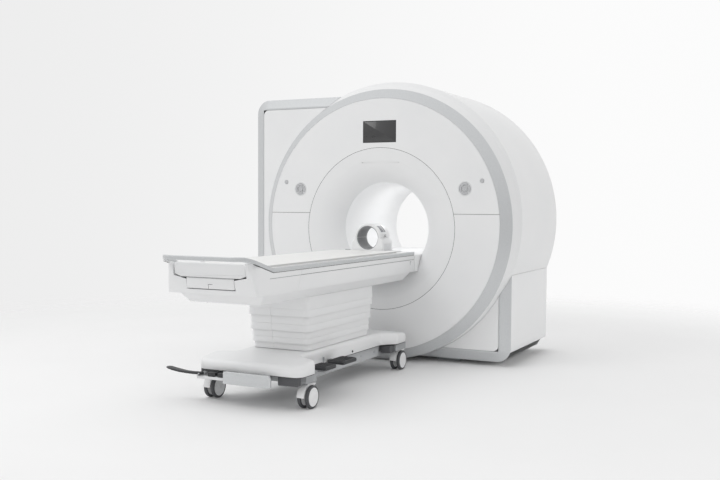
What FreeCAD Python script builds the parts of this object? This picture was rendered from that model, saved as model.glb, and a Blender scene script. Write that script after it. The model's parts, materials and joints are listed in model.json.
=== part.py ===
import FreeCAD, Part
import math
import os
import re
import Sketcher

# Magnetic resonance scanner with a docked patient trolley.
# X is to the right seen from the patient end, +Y goes into the bore, +Z is up.
# The origin is on the floor, under the bore axis, in the plane of the front cover.

SIZES = {
    # heights of the axes above the floor
    "disc_axis": 1030, "bore_axis": 1000, "body_axis": 1062, "crease_axis": 1048,
    # gantry front: flat cover disc, bevelled ring, nose band
    "disc_radius": 945, "ring_radius": 1018, "ring_depth": 65, "skin": 6, "seam_gap": 3,
    "cover_seam": 1115, "crease_radius": 1036, "crease_depth": 150,
    # funnel into the bore
    "funnel_radius": 606, "lip_radius": 520, "lip_depth": 12,
    "bend_radius": 440, "bend_depth": 51, "bore_radius": 350, "throat_depth": 126,
    "liner_end": 1075, "rear_mouth": 560, "slot_height": 1493, "slot_half": 155,
    # round shroud and the square housing behind the disc
    "body_radius": 1050, "body_front": 190, "gantry_depth": 1165, "rear_round": 50,
    "housing_left": 1199, "housing_right": 976, "housing_bottom": 36, "housing_top": 2023,
    "side_seam": 674, "corner_round": 110, "bevel_width": 70, "panel_front": 150,
    "split_angle": 28.5,
    # magnet
    "vessel_radius": 900, "vessel_bore": 450, "vessel_front": 215, "vessel_back": 1055,
    "vessel_wall": 12, "foot_offset": 450,
    "gradient_inner": 376, "gradient_outer": 440, "body_coil_inner": 358,
    # display and control pads
    "screen_half": 136, "screen_low": 1645, "screen_high": 1807,
    "pad_x": 681, "pad_z": 1299, "pad_radius": 52, "centre_key": 19, "ring_inner": 25,
    "ring_outer": 43, "small_key_x": 810, "small_key_z": 1354, "small_key": 15,
    "key_gap": 0.6, "key_back": 3, "key_proud": 4,
    # patient table, in its raised and docked position
    "table_half": 300, "table_low": 690, "trim_low": 812, "trim_high": 836,
    "table_head": 22, "table_foot": 2130, "bridge_head": 12,
    "channel_half": 243, "channel_low": 777, "carriage_half": 161, "carriage_low": 716,
    "cradle_half": 268, "cradle_low": 815, "rail_high": 906, "rail_low": 882,
    "rail_rise": 1954, "rail_flat": 2190, "rail_foot": 2225, "rail_width": 24,
    "end_seam_high": 1643, "end_seam_low": 1690, "shell_round": 70, "rail_round": 110,
    "under_low": 628, "under_half": 237, "under_top_half": 286,
    "tee_top": 874, "tee_half": 237, "tee_step": 797, "tee_notch": 780,
    "tee_shoulder": 195, "carriage_plate": 158, "carriage_bottom": 720,
    # telescoping column
    "column_half": 224, "column_front": 1441, "column_rear": 530, "column_wall": 2.4,
    "stage_inset": 7,
    "post_radius": 36, "post_fit": 0.05, "post_tube": 45, "post_reach": 420,
    "post_foot": 325, "tube_foot": 120, "post_front": 1150, "post_rear": 800,
    # trolley base
    "base_half": 360, "base_front": 1765, "base_shoulder": 1578, "waist_half": 228,
    "waist_front": 1528, "waist_rear": 440, "base_neck": 340, "base_rear": 165,
    "rear_half": 315, "skirt_low": 198, "skirt_high": 260, "cover_top": 289,
    "pivot_x": 241, "pivot_z": 159, "pin_radius": 5, "hub_radius": 9,
    "front_pivot_x": 300, "front_pivot_z": 180, "front_pivot_y": 1809,
    "frame_low": 118, "frame_top": 190, "caster_plate": 146,
    "front_track": 330, "caster_front": 1600, "rear_track": 270, "caster_rear": 205,
    "wheel_radius": 68,
    "wheel_width": 22, "wheel_gap": 30, "trail": 24, "axle_radius": 8,
    # receive coil on the cradle
    "coil_axis": 938, "coil_bore": 86, "coil_wall": 17, "coil_near": 195, "coil_far": 28,
    "coil_base_half": 124, "mattress_top": 851, "mattress_half": 258,
    "mattress_foot": 2050, "mattress_head": 204,
}

doc = FreeCAD.newDocument("mri_scanner")
sheet = doc.addObject("Spreadsheet::Sheet", "Sizes")
for row, (word, number) in enumerate(SIZES.items(), start=1):
    sheet.set(f"A{row}", word.replace("_", " "))
    sheet.set(f"B{row}", str(number))
    sheet.setAlias(f"B{row}", word)
doc.recompute()

pieces = {}
Vector = FreeCAD.Vector


def bound(text):
    """An expression with each size's name pointed at the sheet."""
    return re.sub(r"[a-z][a-z_]+", lambda w: ("Sizes." if w.group() in SIZES else "") + w.group(), str(text))


def value(text):
    return float(sheet.evalExpression(bound(text)))


def bind(item, **properties):
    for name, text in properties.items():
        item.setExpression(name.replace("__", "."), bound(text))
    return item


def put(item, x=0, y=0, z=0):
    return bind(item, Placement__Base__x=x, Placement__Base__y=y, Placement__Base__z=z)


def new(kind, name):
    return doc.addObject(kind, name)


def block(x, y, z, name="block"):
    """A box between low and high along each axis."""
    item = new("Part::Box", name)
    for side, (low, high) in zip(("Length", "Width", "Height"), (x, y, z)):
        item.setExpression(side, bound(f"({high}) - ({low})"))
    return put(item, x[0], y[0], z[0])


TURNS = {
    "x": FreeCAD.Rotation(Vector(0, 1, 0), 90),
    "y": FreeCAD.Rotation(Vector(1, 0, 0), -90),
    "z": FreeCAD.Rotation(),
}


def rod(axis, radius, span, across, name="rod"):
    """A cylinder along an axis over a span, at the two coordinates across it, in X, Y, Z order."""
    item = new("Part::Cylinder", name)
    item.Placement = FreeCAD.Placement(Vector(), TURNS[axis])
    bind(item, Radius=radius, Height=f"({span[1]}) - ({span[0]})")
    spot = list(across)
    spot.insert("xyz".index(axis), span[0])
    return put(item, *spot)


def cut(base, *tools, name="cut"):
    item = new("Part::Cut", name)
    item.Base = base
    item.Tool = tools[0] if len(tools) == 1 else join(*tools)
    return item


def join(*parts, name="join"):
    item = new("Part::MultiFuse", name)
    item.Shapes = list(parts)
    return item


def meet(*parts, name="meet"):
    item = new("Part::MultiCommon", name)
    item.Shapes = list(parts)
    return item


def group(*parts, name="group"):
    """Separate solids kept in one node."""
    item = new("Part::Compound", name)
    item.Links = list(parts)
    return item


def rounded(base, radius, test, name="rounded"):
    """The base with each edge that passes the test rounded."""
    doc.recompute()
    reach = value(radius)
    edges = [(i, reach, reach) for i, edge in enumerate(base.Shape.Edges, start=1) if test(edge)]
    item = new("Part::Fillet", name)
    item.Base = base
    item.Edges = edges
    return item


def along(edge, axis):
    """Whether an edge is straight and lies along an axis."""
    if edge.Curve.TypeId != "Part::GeomLine":
        return False
    way = edge.Curve.Direction
    return abs(getattr(way, axis)) > 0.999


def draw(body, role, corners):
    """A closed outline on one of the body's planes; a corner with four values starts an arc through the last two."""
    sketch = body.newObject("Sketcher::SketchObject", body.Name + "_outline")
    plane = next(f for f in body.Origin.OriginFeatures if f.Role == role)
    sketch.AttachmentSupport = [(plane, "")]
    sketch.MapMode = "FlatFace"
    spots = [Vector(value(c[0]), value(c[1]), 0) for c in corners]
    starts = []
    for i, corner in enumerate(corners):
        start, end = spots[i], spots[(i + 1) % len(spots)]
        if len(corner) == 4:
            middle = Vector(value(corner[2]), value(corner[3]), 0)
            edge = sketch.addGeometry(Part.Arc(start, middle, end))
        else:
            edge = sketch.addGeometry(Part.LineSegment(start, end))
        near = sketch.getPoint(edge, 1).distanceToPoint(start) < 1e-6
        starts.append((edge, 1, 2) if near else (edge, 2, 1))
    for i, (edge, first, last) in enumerate(starts):
        after, its_first, its_last = starts[(i + 1) % len(starts)]
        sketch.addConstraint(Sketcher.Constraint("Coincident", edge, last, after, its_first))
        for kind, text, number in zip(("DistanceX", "DistanceY"), corners[i], spots[i]):
            at = sketch.addConstraint(Sketcher.Constraint(kind, -1, 1, edge, first, number))
            if re.search("[a-z]", str(text)):
                sketch.setExpression(f"Constraints[{at}]", bound(text))
    return sketch


def extruded(role, corners, way, length, start=0, name="pad"):
    """An outline on a plane, padded along a direction from a start."""
    body = new("PartDesign::Body", name)
    sketch = draw(body, role, corners)
    pad = body.newObject("PartDesign::Pad", name + "_pad")
    pad.Profile = sketch
    pad.UseCustomVector = True
    pad.Direction = Vector(*way)
    bind(pad, Length=length)
    axis = "xyz"[[abs(w) for w in way].index(1)]
    body.setExpression(f"Placement.Base.{axis}", bound(start))
    return body


def turned(corners, height, name="turned"):
    """A profile of (y, radius) corners turned about an axis along Y at a height."""
    body = new("PartDesign::Body", name)
    sketch = draw(body, "YZ_Plane", corners)
    spin = body.newObject("PartDesign::Revolution", name + "_spin")
    spin.Profile = sketch
    spin.ReferenceAxis = (sketch, ["H_Axis"])
    spin.Angle = 360
    return bind(body, Placement__Base__z=height)


def tube(inner, outer, front, back, height, name="tube"):
    corners = [(front, inner), (back, inner), (back, outer), (front, outer)]
    return turned(corners, height, name)


def keep(name, item):
    item.Label = name
    pieces[name] = item
    return item


FAR = 3000  # further out than any piece


# ---- magnet, inside the covers ----

def feet(margin):
    """The four blocks that the magnet stands on, larger by a margin."""
    blocks = []
    for side in (-1, 1):
        for near in ("vessel_front + 95", "vessel_back - 235"):
            middle = f"{side} * foot_offset"
            across = (f"{middle} - 90 - {margin}", f"{middle} + 90 + {margin}")
            blocks.append(block(across, (f"{near} - {margin}", f"{near} + 140 + {margin}"), (0, 260)))
    return blocks


def magnet():
    wall = "vessel_wall"
    profile = [
        ("vessel_front", "vessel_bore"), ("vessel_back - 25", "vessel_bore"),
        ("vessel_back - 25", f"vessel_bore + {wall}"), ("vessel_front + 25", f"vessel_bore + {wall}"),
        ("vessel_front + 25", f"vessel_radius - {wall}"), ("vessel_back - 25", f"vessel_radius - {wall}"),
        ("vessel_back - 25", "vessel_radius"), ("vessel_front", "vessel_radius"),
    ]
    shell = turned(profile, "bore_axis", "vessel")
    outside = rod("y", "vessel_radius + 0.3", ("vessel_front", "vessel_back"), (0, "bore_axis"))
    keep("magnet_feet", cut(join(*feet(0)), outside))
    keep("vessel_end_plate", tube("vessel_bore", "vessel_radius", "vessel_back - 25", "vessel_back", "bore_axis"))
    rings = []
    span = "(vessel_back - vessel_front - 150)"
    for place in range(6):
        start = f"vessel_front + 60 + {span} * {place} / 6"
        thick = 90 if place in (0, 5) else 55
        rings.append(tube("vessel_bore + 60", f"vessel_bore + {60 + thick}", start, f"{start} + 70", "bore_axis"))
    former = tube("vessel_bore + 46", "vessel_bore + 60", "vessel_front + 40", "vessel_back - 40", "bore_axis")
    keep("main_coils", join(former, *rings))
    keep("gradient_coil", tube("gradient_inner", "gradient_outer", "vessel_front + 5", "vessel_back - 5", "bore_axis"))
    keep("rf_body_coil", tube("body_coil_inner", "body_coil_inner + 8", "vessel_front + 85", "vessel_back - 85", "bore_axis"))
    port = join(rod("z", 71, (-90, 60), (0, 0)), rod("z", 113, (-0.5, 60), (0, 0)), name="port")
    sleeve = rod("z", 70, (0, 250), (0, 0))
    flange = rod("z", 112, (0, 22), (0, 0))
    cap = rod("z", 48, (250, 330), (0, 0))
    head = join(sleeve, flange, cap, name="cold_head")
    tilt = FreeCAD.Rotation(Vector(0, 1, 0), -45)
    head.Placement = FreeCAD.Placement(Vector(), tilt)
    reach = "(vessel_radius - 6) * 0.70711"
    port.Placement = head.Placement
    spot = (f"-{reach}", "(vessel_front + vessel_back) / 2", f"bore_axis + {reach}")
    keep("cold_head", put(head, *spot))
    keep("magnet_vessel", cut(shell, put(port, *spot)))


# ---- bore and funnels ----

def funnel_face(shift):
    """The funnel's front surface from rim to throat, moved back by a shift."""
    return [
        (f"0 + {shift}", "funnel_radius"), (f"lip_depth + {shift}", "lip_radius", f"bend_depth * 0.84 + {shift}", "bend_radius + 1"),
        (f"throat_depth + {shift}", "bore_radius"),
    ]


def bore():
    keep("bore_liner", tube("bore_radius", "bore_radius + 5", "throat_depth + 2", "liner_end", "bore_axis"))
    front = funnel_face(0)
    back = [
        ("throat_depth + 1", "bore_radius + 6", "bend_depth * 0.84 + 6", "bend_radius + 7"),
        ("lip_depth + skin", "lip_radius + 1"), ("skin", "funnel_radius"),
    ]
    face = turned(front + back, "bore_axis", "funnel")
    slit = block(("-slot_half", "slot_half"), (-20, 34), ("slot_height", "slot_height + 5"))
    keep("front_funnel", cut(face, meet(slit, turned([(10, 400), (19, 400), (19, 600), (10, 600)], "bore_axis"))))
    mouth = [
        ("liner_end + 2", "bore_radius", "gantry_depth - 40", "bore_radius + 70"), ("gantry_depth", "rear_mouth"),
        ("gantry_depth", "rear_mouth + skin", "gantry_depth - 44", "bore_radius + 76"),
        ("liner_end + 2", "bore_radius + skin"),
    ]
    keep("rear_funnel", turned(mouth, "bore_axis", "rear_mouth_turn"))


# ---- front cover, ring and nose ----

def front_cover():
    disc = tube("funnel_radius - 60", "disc_radius - 1", 0, "skin + 2", "disc_axis", "disc")
    opening = rod("y", "funnel_radius + seam_gap / 2", (-10, 40), (0, "bore_axis"))
    holes = [rod("y", "pad_radius + 0.5", (-10, 40), (f"{side} * pad_x", "pad_z")) for side in (-1, 1)]
    small = [rod("y", "small_key + key_gap", (-10, 40), (f"{side} * small_key_x", "small_key_z")) for side in (-1, 1)]
    window = block(("-screen_half - 1", "screen_half + 1"), (-10, 40), ("screen_low - 1", "screen_high + 1"))
    plate = cut(disc, opening, window, *holes, *small)
    upper = block((-FAR, FAR), (-100, 100), ("cover_seam + seam_gap / 2", FAR))
    lower = block((-FAR, FAR), (-100, 100), (-FAR, "cover_seam - seam_gap / 2"))
    keep("front_cover_upper", meet(plate, upper))
    keep("front_cover_lower", meet(plate, lower))
    keep("display_screen", block(("-screen_half", "screen_half"), (0.5, 26), ("screen_low", "screen_high")))
    ring = [(0, "disc_radius"), ("ring_depth", "ring_radius"), ("ring_depth", "ring_radius - 9"), (10, "disc_radius")]
    keep("front_trim_ring", turned(ring, "disc_axis", "ring"))


def disc_edge(radius, depth, height):
    """A circle across the Y axis, for a loft."""
    item = new("Part::Circle", "edge")
    item.Placement = FreeCAD.Placement(Vector(), FreeCAD.Rotation(Vector(1, 0, 0), 90))
    bind(item, Radius=radius)
    return put(item, 0, depth, height)


def nose(inset):
    """The solid from the ring's back edge to the shroud, narrower by an inset."""
    rims = [
        disc_edge(f"ring_radius - ({inset})", "ring_depth + 0.5", "disc_axis"),
        disc_edge(f"crease_radius - ({inset})", "crease_depth", "crease_axis"),
        disc_edge(f"body_radius - ({inset})", "body_front - 0.5", "body_axis"),
    ]
    return loft(rims)


def loft(rims):
    item = new("Part::Loft", "loft")
    item.Sections = rims
    item.Solid = True
    item.Ruled = True
    return item


def nose_opening():
    """The space of the nose with 1.5 mm of clearance, run past both faces of the housing's front."""
    rims = []
    for depth in ("crease_depth - 10", "body_front + 10"):
        share = f"({depth} - crease_depth) / (body_front - 0.5 - crease_depth)"
        radius = f"crease_radius + 1.5 + (body_radius - crease_radius) * {share}"
        rims.append(disc_edge(radius, depth, f"crease_axis + (body_axis - crease_axis) * {share}"))
    return loft(rims)


# ---- shrouds and housing ----

def drum(inset):
    """The round shroud's solid with its rounded back edge."""
    front = "body_front" if inset == 0 else "body_front - 5"
    base = rod("y", f"body_radius - {inset}", (front, f"gantry_depth - {inset}"), (0, "body_axis"))
    back = value(f"gantry_depth - {inset}")
    return rounded(base, f"rear_round - {inset}", lambda e: abs(e.BoundBox.YMin - back) < 1e-3 and e.Length > 500)


def housing(low, high, bottom, top, inset):
    """A square side housing's solid, with its two outer long edges and its back edges rounded."""
    front = "body_front" if inset == 0 else "body_front - 5"
    base = block((low, high), (front, f"gantry_depth - {inset}"), (bottom, top))
    outer = low if low.startswith("-") else high
    wall = value(outer)

    def corner(edge):
        box = edge.BoundBox
        if not along(edge, "y") or abs(box.XMin - wall) > 1:
            return False
        return low.startswith("-") or box.ZMin < value(bottom) + 1

    soft = rounded(base, f"corner_round - {inset}", corner)
    back = value(f"gantry_depth - {inset}")

    def rear(edge):
        box = edge.BoundBox
        inner = abs(box.XMin) < 1 and abs(box.XMax) < 1
        flat_top = not low.startswith("-") and box.ZMin > value(top) - 1
        return abs(box.YMin - back) < 1e-3 and abs(box.YMax - back) < 1e-3 and not inner and not flat_top

    return rounded(soft, f"rear_round - {inset}", rear)


def covers():
    keep("nose_band", cut(nose("0"), nose("skin")))
    shell = cut(drum(0), drum(6))
    disc = rod("y", "body_radius - rear_round - 1", ("body_front - 50", "gantry_depth + 50"), (0, "body_axis"))
    left_low = block((-FAR, 0), (0, FAR), (-FAR, "housing_top + 1"))
    right_low = block((-1, FAR), (0, FAR), (-FAR, "side_seam + 1"))
    round_part = cut(shell, disc, left_low, right_low)
    divide = block((0, FAR), (0, FAR), (-FAR, FAR), "divide")
    divide.Placement = FreeCAD.Placement(Vector(), FreeCAD.Rotation(Vector(0, 1, 0), value("split_angle")))
    put(divide, 0, 0, "body_axis")
    other = block((-FAR, -1.5), (0, FAR), (-FAR, FAR), "other")
    other.Placement = divide.Placement
    turn = math.radians(value("split_angle"))
    corner = Vector(-FAR * math.cos(turn) - FAR * math.sin(turn), 0, FAR * math.sin(turn) - FAR * math.cos(turn))
    put(other, corner.x, 0, f"body_axis + {corner.z}")
    corner = Vector(-FAR * math.sin(turn), 0, -FAR * math.cos(turn))
    put(divide, corner.x, 0, f"body_axis + {corner.z}")
    keep("shroud_right", meet(round_part, divide))
    keep("shroud_top", meet(round_part, other))
    left = cut(
        housing("-housing_left", "0", "housing_bottom", "housing_top", 0),
        housing("-housing_left + 6", "6", "housing_bottom + 6", "housing_top - 6", 6),
    )
    keep("side_cover_left", cut(left, disc, *feet(2)))
    right = cut(
        housing("1", "housing_right", "housing_bottom", "side_seam - 1", 0),
        housing("-5", "housing_right - 6", "housing_bottom + 6", "side_seam - 7", 6),
    )
    keep("side_cover_right", cut(right, disc, *feet(2)))
    back = tube("rear_mouth + skin", "body_radius - rear_round - 3", "gantry_depth - skin", "gantry_depth", "body_axis")
    mouth = rod("y", "rear_mouth + skin + 0.5", ("gantry_depth - 60", "gantry_depth + 60"), (0, "bore_axis"))
    keep("rear_cover", cut(back, mouth))


def outline(inset):
    """The L-shaped front of the housing, inset from its outer edges."""
    left, right = f"-housing_left + {inset}", f"housing_right - {inset}"
    low, high = f"housing_bottom + {inset}", f"housing_top - {inset}"
    return [(left, low), (right, low), (right, "side_seam - 2"), (0, "side_seam - 2"), (0, high), (left, high)]


def housing_front():
    def slab(inset, front, thick, radius):
        raw = extruded("XZ_Plane", outline(inset), (0, 1, 0), thick, front, "slab")

        def corner(edge):
            box = edge.BoundBox
            left = abs(box.XMin - value(f"-housing_left + {inset}")) < 1
            right = abs(box.XMin - value(f"housing_right - {inset}")) < 1
            return along(edge, "y") and (left or (right and box.ZMin < value("side_seam") - 100))

        return rounded(raw, radius, corner)

    plate = slab("(bevel_width + 14)", "panel_front", "skin", "corner_round - bevel_width")
    keep("front_panel", cut(plate, nose_opening()))
    wires = []
    inner_round = "corner_round - bevel_width + 10"
    for inset, front, radius in (("bevel_width", "panel_front", inner_round), ("0", "body_front - 1", "corner_round")):
        flat = slab(inset, front, "1", radius)
        doc.recompute()
        flush = [f for f in flat.Shape.Faces if f.BoundBox.YLength < 1e-3 and abs(f.BoundBox.YMin - value(front)) < 1e-3]
        wires.append(flush[0].OuterWire)
    solid = Part.makeLoft(wires, True, True)
    core = solid.copy()
    core.translate(Vector(0, value("skin"), 0))
    strip = new("Part::Feature", "bevel")
    strip.Shape = solid.cut(core)
    sill = "housing_bottom + bevel_width + 12"
    window = join(
        block(("-housing_left + bevel_width + 12", 20), (0, FAR), (sill, "housing_top - bevel_width - 12")),
        block((-20, "housing_right - bevel_width - 12"), (0, FAR), (sill, FAR)),
    )
    band = cut(cut(strip, window), nose_opening())
    outside = block(("-crease_radius * 0.4", FAR), (0, FAR), ("side_seam - 1.5", FAR))
    keep("panel_trim", cut(band, outside))


# ---- control pads ----

def controls():
    for side, name in ((-1, "left"), (1, "right")):
        spot = (f"{side} * pad_x", "pad_z")
        plate = rod("y", "pad_radius", (-1.5, 9), spot)
        well = rod("y", "ring_outer + key_gap", (-10, "key_back + 3"), spot)
        island = rod("y", "ring_inner - key_gap", (-1.5, "key_back + 3"), spot)
        core = rod("y", "centre_key + key_gap", (-10, "key_back + 3"), spot)
        keep(f"control_plate_{name}", cut(join(cut(plate, well), island), core))
        keep(f"centre_button_{name}", rod("y", "centre_key", ("-key_proud", "key_back"), spot))
        hub = rod("y", "ring_inner", (-20, 20), spot)
        keep(f"ring_key_{name}", cut(rod("y", "ring_outer", ("1 - key_proud", "key_back"), spot), hub))
        keep(f"small_button_{name}", rod("y", "small_key", ("-key_proud", "key_back + 3"), (f"{side} * small_key_x", "small_key_z")))


# ---- patient table ----

def channel(margin=0):
    """The stepped slot that the cradle's foot block runs in, as XZ corners."""
    wide, narrow = f"channel_half + {margin}", f"carriage_half + {margin}"
    return [
        (f"-({narrow})", "carriage_low"), (narrow, "carriage_low"), (narrow, "channel_low - 4"),
        (wide, "channel_low + 12"), (wide, 2000), (f"-({wide})", 2000),
        (f"-({wide})", "channel_low + 12"), (f"-({narrow})", "channel_low - 4"),
    ]


def side_slab(corners, half, name):
    """A side profile of (y, z) corners, as wide as twice a half width."""
    return extruded("YZ_Plane", corners, (1, 0, 0), f"2 * ({half})", f"-({half})", name)


def plan(half, foot, head, radius, name):
    """An upright block whose two foot corners are rounded in plan."""
    base = block((f"-({half})", half), (f"-({foot})", f"-({head})"), (400, 1200), name)
    end = -value(foot)
    return rounded(base, radius, lambda e: along(e, "z") and abs(e.BoundBox.YMin - end) < 1)


def table_top():
    section = [
        ("-table_half", "table_low"), ("table_half", "table_low"), ("table_half", "trim_low - 1"),
        ("-table_half", "trim_low - 1"),
    ]
    bar = extruded("XZ_Plane", section, (0, 1, 0), "end_seam_high + 70 - table_head", "-end_seam_high - 70", "bar")
    slot = extruded("XZ_Plane", channel(), (0, 1, 0), FAR, "-table_foot - 100", "slot")
    lean = "(end_seam_low - end_seam_high) / (trim_low - 1 - table_low)"
    seam = [
        (f"-end_seam_low + 1.2 - 20 * {lean}", "table_low - 20"),
        (f"-end_seam_high + 1.2 + 21 * {lean}", "trim_low + 20"),
        ("-table_foot - 200", "trim_low + 20"), ("-table_foot - 200", "table_low - 20"),
    ]
    behind = side_slab(seam, "table_half + 20", "behind")
    grooves = [
        block((f"{side} * table_half - 1.5", f"{side} * table_half + 1.5"), (-FAR, 0), (778, 781)) for side in (-1, 1)
    ]
    keep("table_shell", cut(bar, slot, behind, *grooves))
    climb = "(rail_low - trim_low) * (table_foot + 20 - rail_rise) / (rail_flat - rail_rise)"
    end_side = [
        ("-table_foot + 20", "table_low"), ("-end_seam_low - 1.2", "table_low"),
        ("-end_seam_high - 1.2", "trim_low - 1"), ("-rail_rise", "trim_low - 1"),
        ("-table_foot - 20", f"trim_low - 1 + {climb}"),
    ]
    casing = meet(side_slab(end_side, "table_half", "end_side"), plan("table_half", "table_foot + 20", "0", "shell_round", "end_plan"))
    well = block(("-cradle_half - 4", "cradle_half + 4"), ("-table_foot + 26", 0), ("trim_low - 3", 2000))
    grip = block((-150, 150), ("-table_foot - 100", "-table_foot + 30"), ("tee_top + 1", 2000))
    keep("end_shell", cut(casing, slot, well, grip))
    band = [
        ("-table_head", "trim_low"), ("-table_head", "trim_high"), ("-rail_rise", "trim_high"),
        ("-rail_flat", "rail_high"), ("-rail_foot", "rail_high"), ("-rail_foot", "rail_low"),
        ("-rail_flat + 3", "rail_low"), ("-rail_rise + 3", "trim_low"),
    ]
    outer = plan("table_half + 2", "rail_foot", "table_head", "rail_round", "rail_plan")
    inner = plan("table_half + 2 - rail_width", "rail_foot - rail_width", "table_head - 50", "rail_round - rail_width", "rail_inside")
    keep("side_rail", meet(side_slab(band, "table_half + 2", "rail_band"), cut(outer, inner)))
    under = [
        ("-under_half", "under_low"), ("under_half", "under_low"), ("under_top_half", "table_low - 1"),
        ("-under_top_half", "table_low - 1"),
    ]
    hull = extruded("XZ_Plane", under, (0, 1, 0), FAR, -FAR, "hull")
    ends = side_slab(
        [("-table_foot + 140", "under_low - 5"), ("-table_foot + 90", "table_low"), ("-table_head - 30", "table_low"), ("-table_head - 75", "under_low - 5")],
        "table_half", "ends")
    hollow = block(("-under_half + 30", "under_half - 30"), ("-table_foot + 160", "-table_head - 120"), ("under_low + 10", "table_low + 20"))
    keep("under_shell", cut(meet(hull, ends), hollow))
    motor = rod("x", 24, (-120, -20), (-1700, "under_low + 36"))
    gearbox = block((-20, 60), (-1740, -1660), ("under_low + 11", "table_low - 3"))
    drum_rod = rod("x", 20, (60, 130), (-1700, "under_low + 34"))
    keep("drive_unit", join(motor, gearbox, drum_rod))


def bridge():
    section = [
        ("-table_half", "table_low"), ("table_half", "table_low"),
        ("table_half", "trim_low - 1"), ("-table_half", "trim_low - 1"),
    ]
    bar = extruded("XZ_Plane", section, (0, 1, 0), "throat_depth + 60", "-bridge_head", "bridge_bar")
    rear = [("0 - 200", "funnel_radius"), ("0 - 200", 200), ("throat_depth + 100", 200),
            ("throat_depth + 100", "bore_radius - 1"), ("throat_depth - 1.2", "bore_radius - 1", "bend_depth * 0.84 - 1.2", "bend_radius"),
            ("lip_depth - 1.2", "lip_radius - 1"), (-1.2, "funnel_radius")]
    space = turned(rear, "bore_axis", "space")
    head = meet(bar, space)
    deck = block(("-cradle_half - 10", "cradle_half + 10"), ("throat_depth - 40", "liner_end - 4"), ("trim_low - 13", "trim_low - 1"))
    ribs = [block((f"{side} * 150 - 6", f"{side} * 150 + 6"), ("throat_depth - 40", "liner_end - 4"), ("bore_axis - bore_radius + 2", "trim_low - 5")) for side in (-1, 1)]
    inside = rod("y", "bore_radius - 0.2", (-200, "liner_end"), (0, "bore_axis"))
    keep("bridge", join(head, meet(join(deck, *ribs), inside)))


def cradle():
    deck = block(("-cradle_half", "cradle_half"), ("-table_foot + 30", "-table_head - 3"), ("cradle_low", "trim_high"))
    tee = [
        ("-carriage_plate", "carriage_bottom"), ("carriage_plate", "carriage_bottom"),
        ("carriage_plate", "tee_notch"), ("tee_shoulder", "tee_notch"), ("tee_half", "tee_step"),
        ("tee_half", "tee_top - 1"), ("-tee_half", "tee_top - 1"), ("-tee_half", "tee_step"),
        ("-tee_shoulder", "tee_notch"), ("-carriage_plate", "tee_notch"),
    ]
    end = extruded("XZ_Plane", tee, (0, 1, 0), 48, "-table_foot - 12", "tee")
    lean = side_slab([("-table_foot + 40", 600), ("-table_foot + 40", 900), ("-table_foot - 14", 900), ("-table_foot + 22", 600)], 300, "lean")
    keep("cradle", join(deck, meet(end, lean)))
    keep("mattress", block(("-mattress_half", "mattress_half"), ("-mattress_foot", "-mattress_head"), ("trim_high", "mattress_top")))


def receive_coil():
    span = ("-coil_near", "-coil_far")
    hole = rod("y", "coil_bore", ("-coil_near - 20", "-coil_far + 20"), (0, "coil_axis"))
    dome = rod("y", "coil_bore + coil_wall", span, (0, "coil_axis"))
    upper = block((-400, 400), (-400, 100), ("coil_axis + 1", 1400))
    keep("coil_top", meet(cut(dome, hole), upper))
    body = block(("-coil_base_half", "coil_base_half"), span, ("trim_high", "coil_axis"))
    foot = rounded(body, 14, lambda e: along(e, "z"))
    keep("coil_base", cut(foot, hole))


# ---- telescoping column ----

STAGE_EDGES = (500, 407, 330, 291)  # lower edge of each stage, top one first
STAGE_TOPS = (626, 512, 419, 342)


def stage_ring(inset, low, high, name):
    """A rounded rectangular tube around the column."""

    def solid(more):
        far = inset + more
        base = block(
            (f"-column_half + {far}", f"column_half - {far}"),
            (f"-column_front + 1.6 * {inset} + {more}", f"-column_rear - 1.6 * {inset} - {more}"), (low, high), name)
        return rounded(base, 45, lambda e: along(e, "z"))

    return cut(solid(0), solid(value("column_wall")))


def column():
    names = ("one", "two", "three", "four")
    for place, (name, low, high) in enumerate(zip(names, STAGE_EDGES, STAGE_TOPS)):
        inset = place * value("stage_inset")
        keep(f"column_stage_{name}", stage_ring(inset, low, high, "stage"))
    posts, tubes = [], []
    for at in ("-post_front", "-post_rear"):
        posts.append(rod("z", "post_radius", ("post_foot", "under_low"), (0, at)))
        outer = rod("z", "post_tube", ("tube_foot", "post_reach"), (0, at))
        tubes.append(cut(outer, rod("z", "post_radius + post_fit", ("tube_foot - 1", "post_reach + 1"), (0, at))))
    keep("lift_posts", group(*posts))
    return tubes


# ---- trolley base ----

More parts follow.
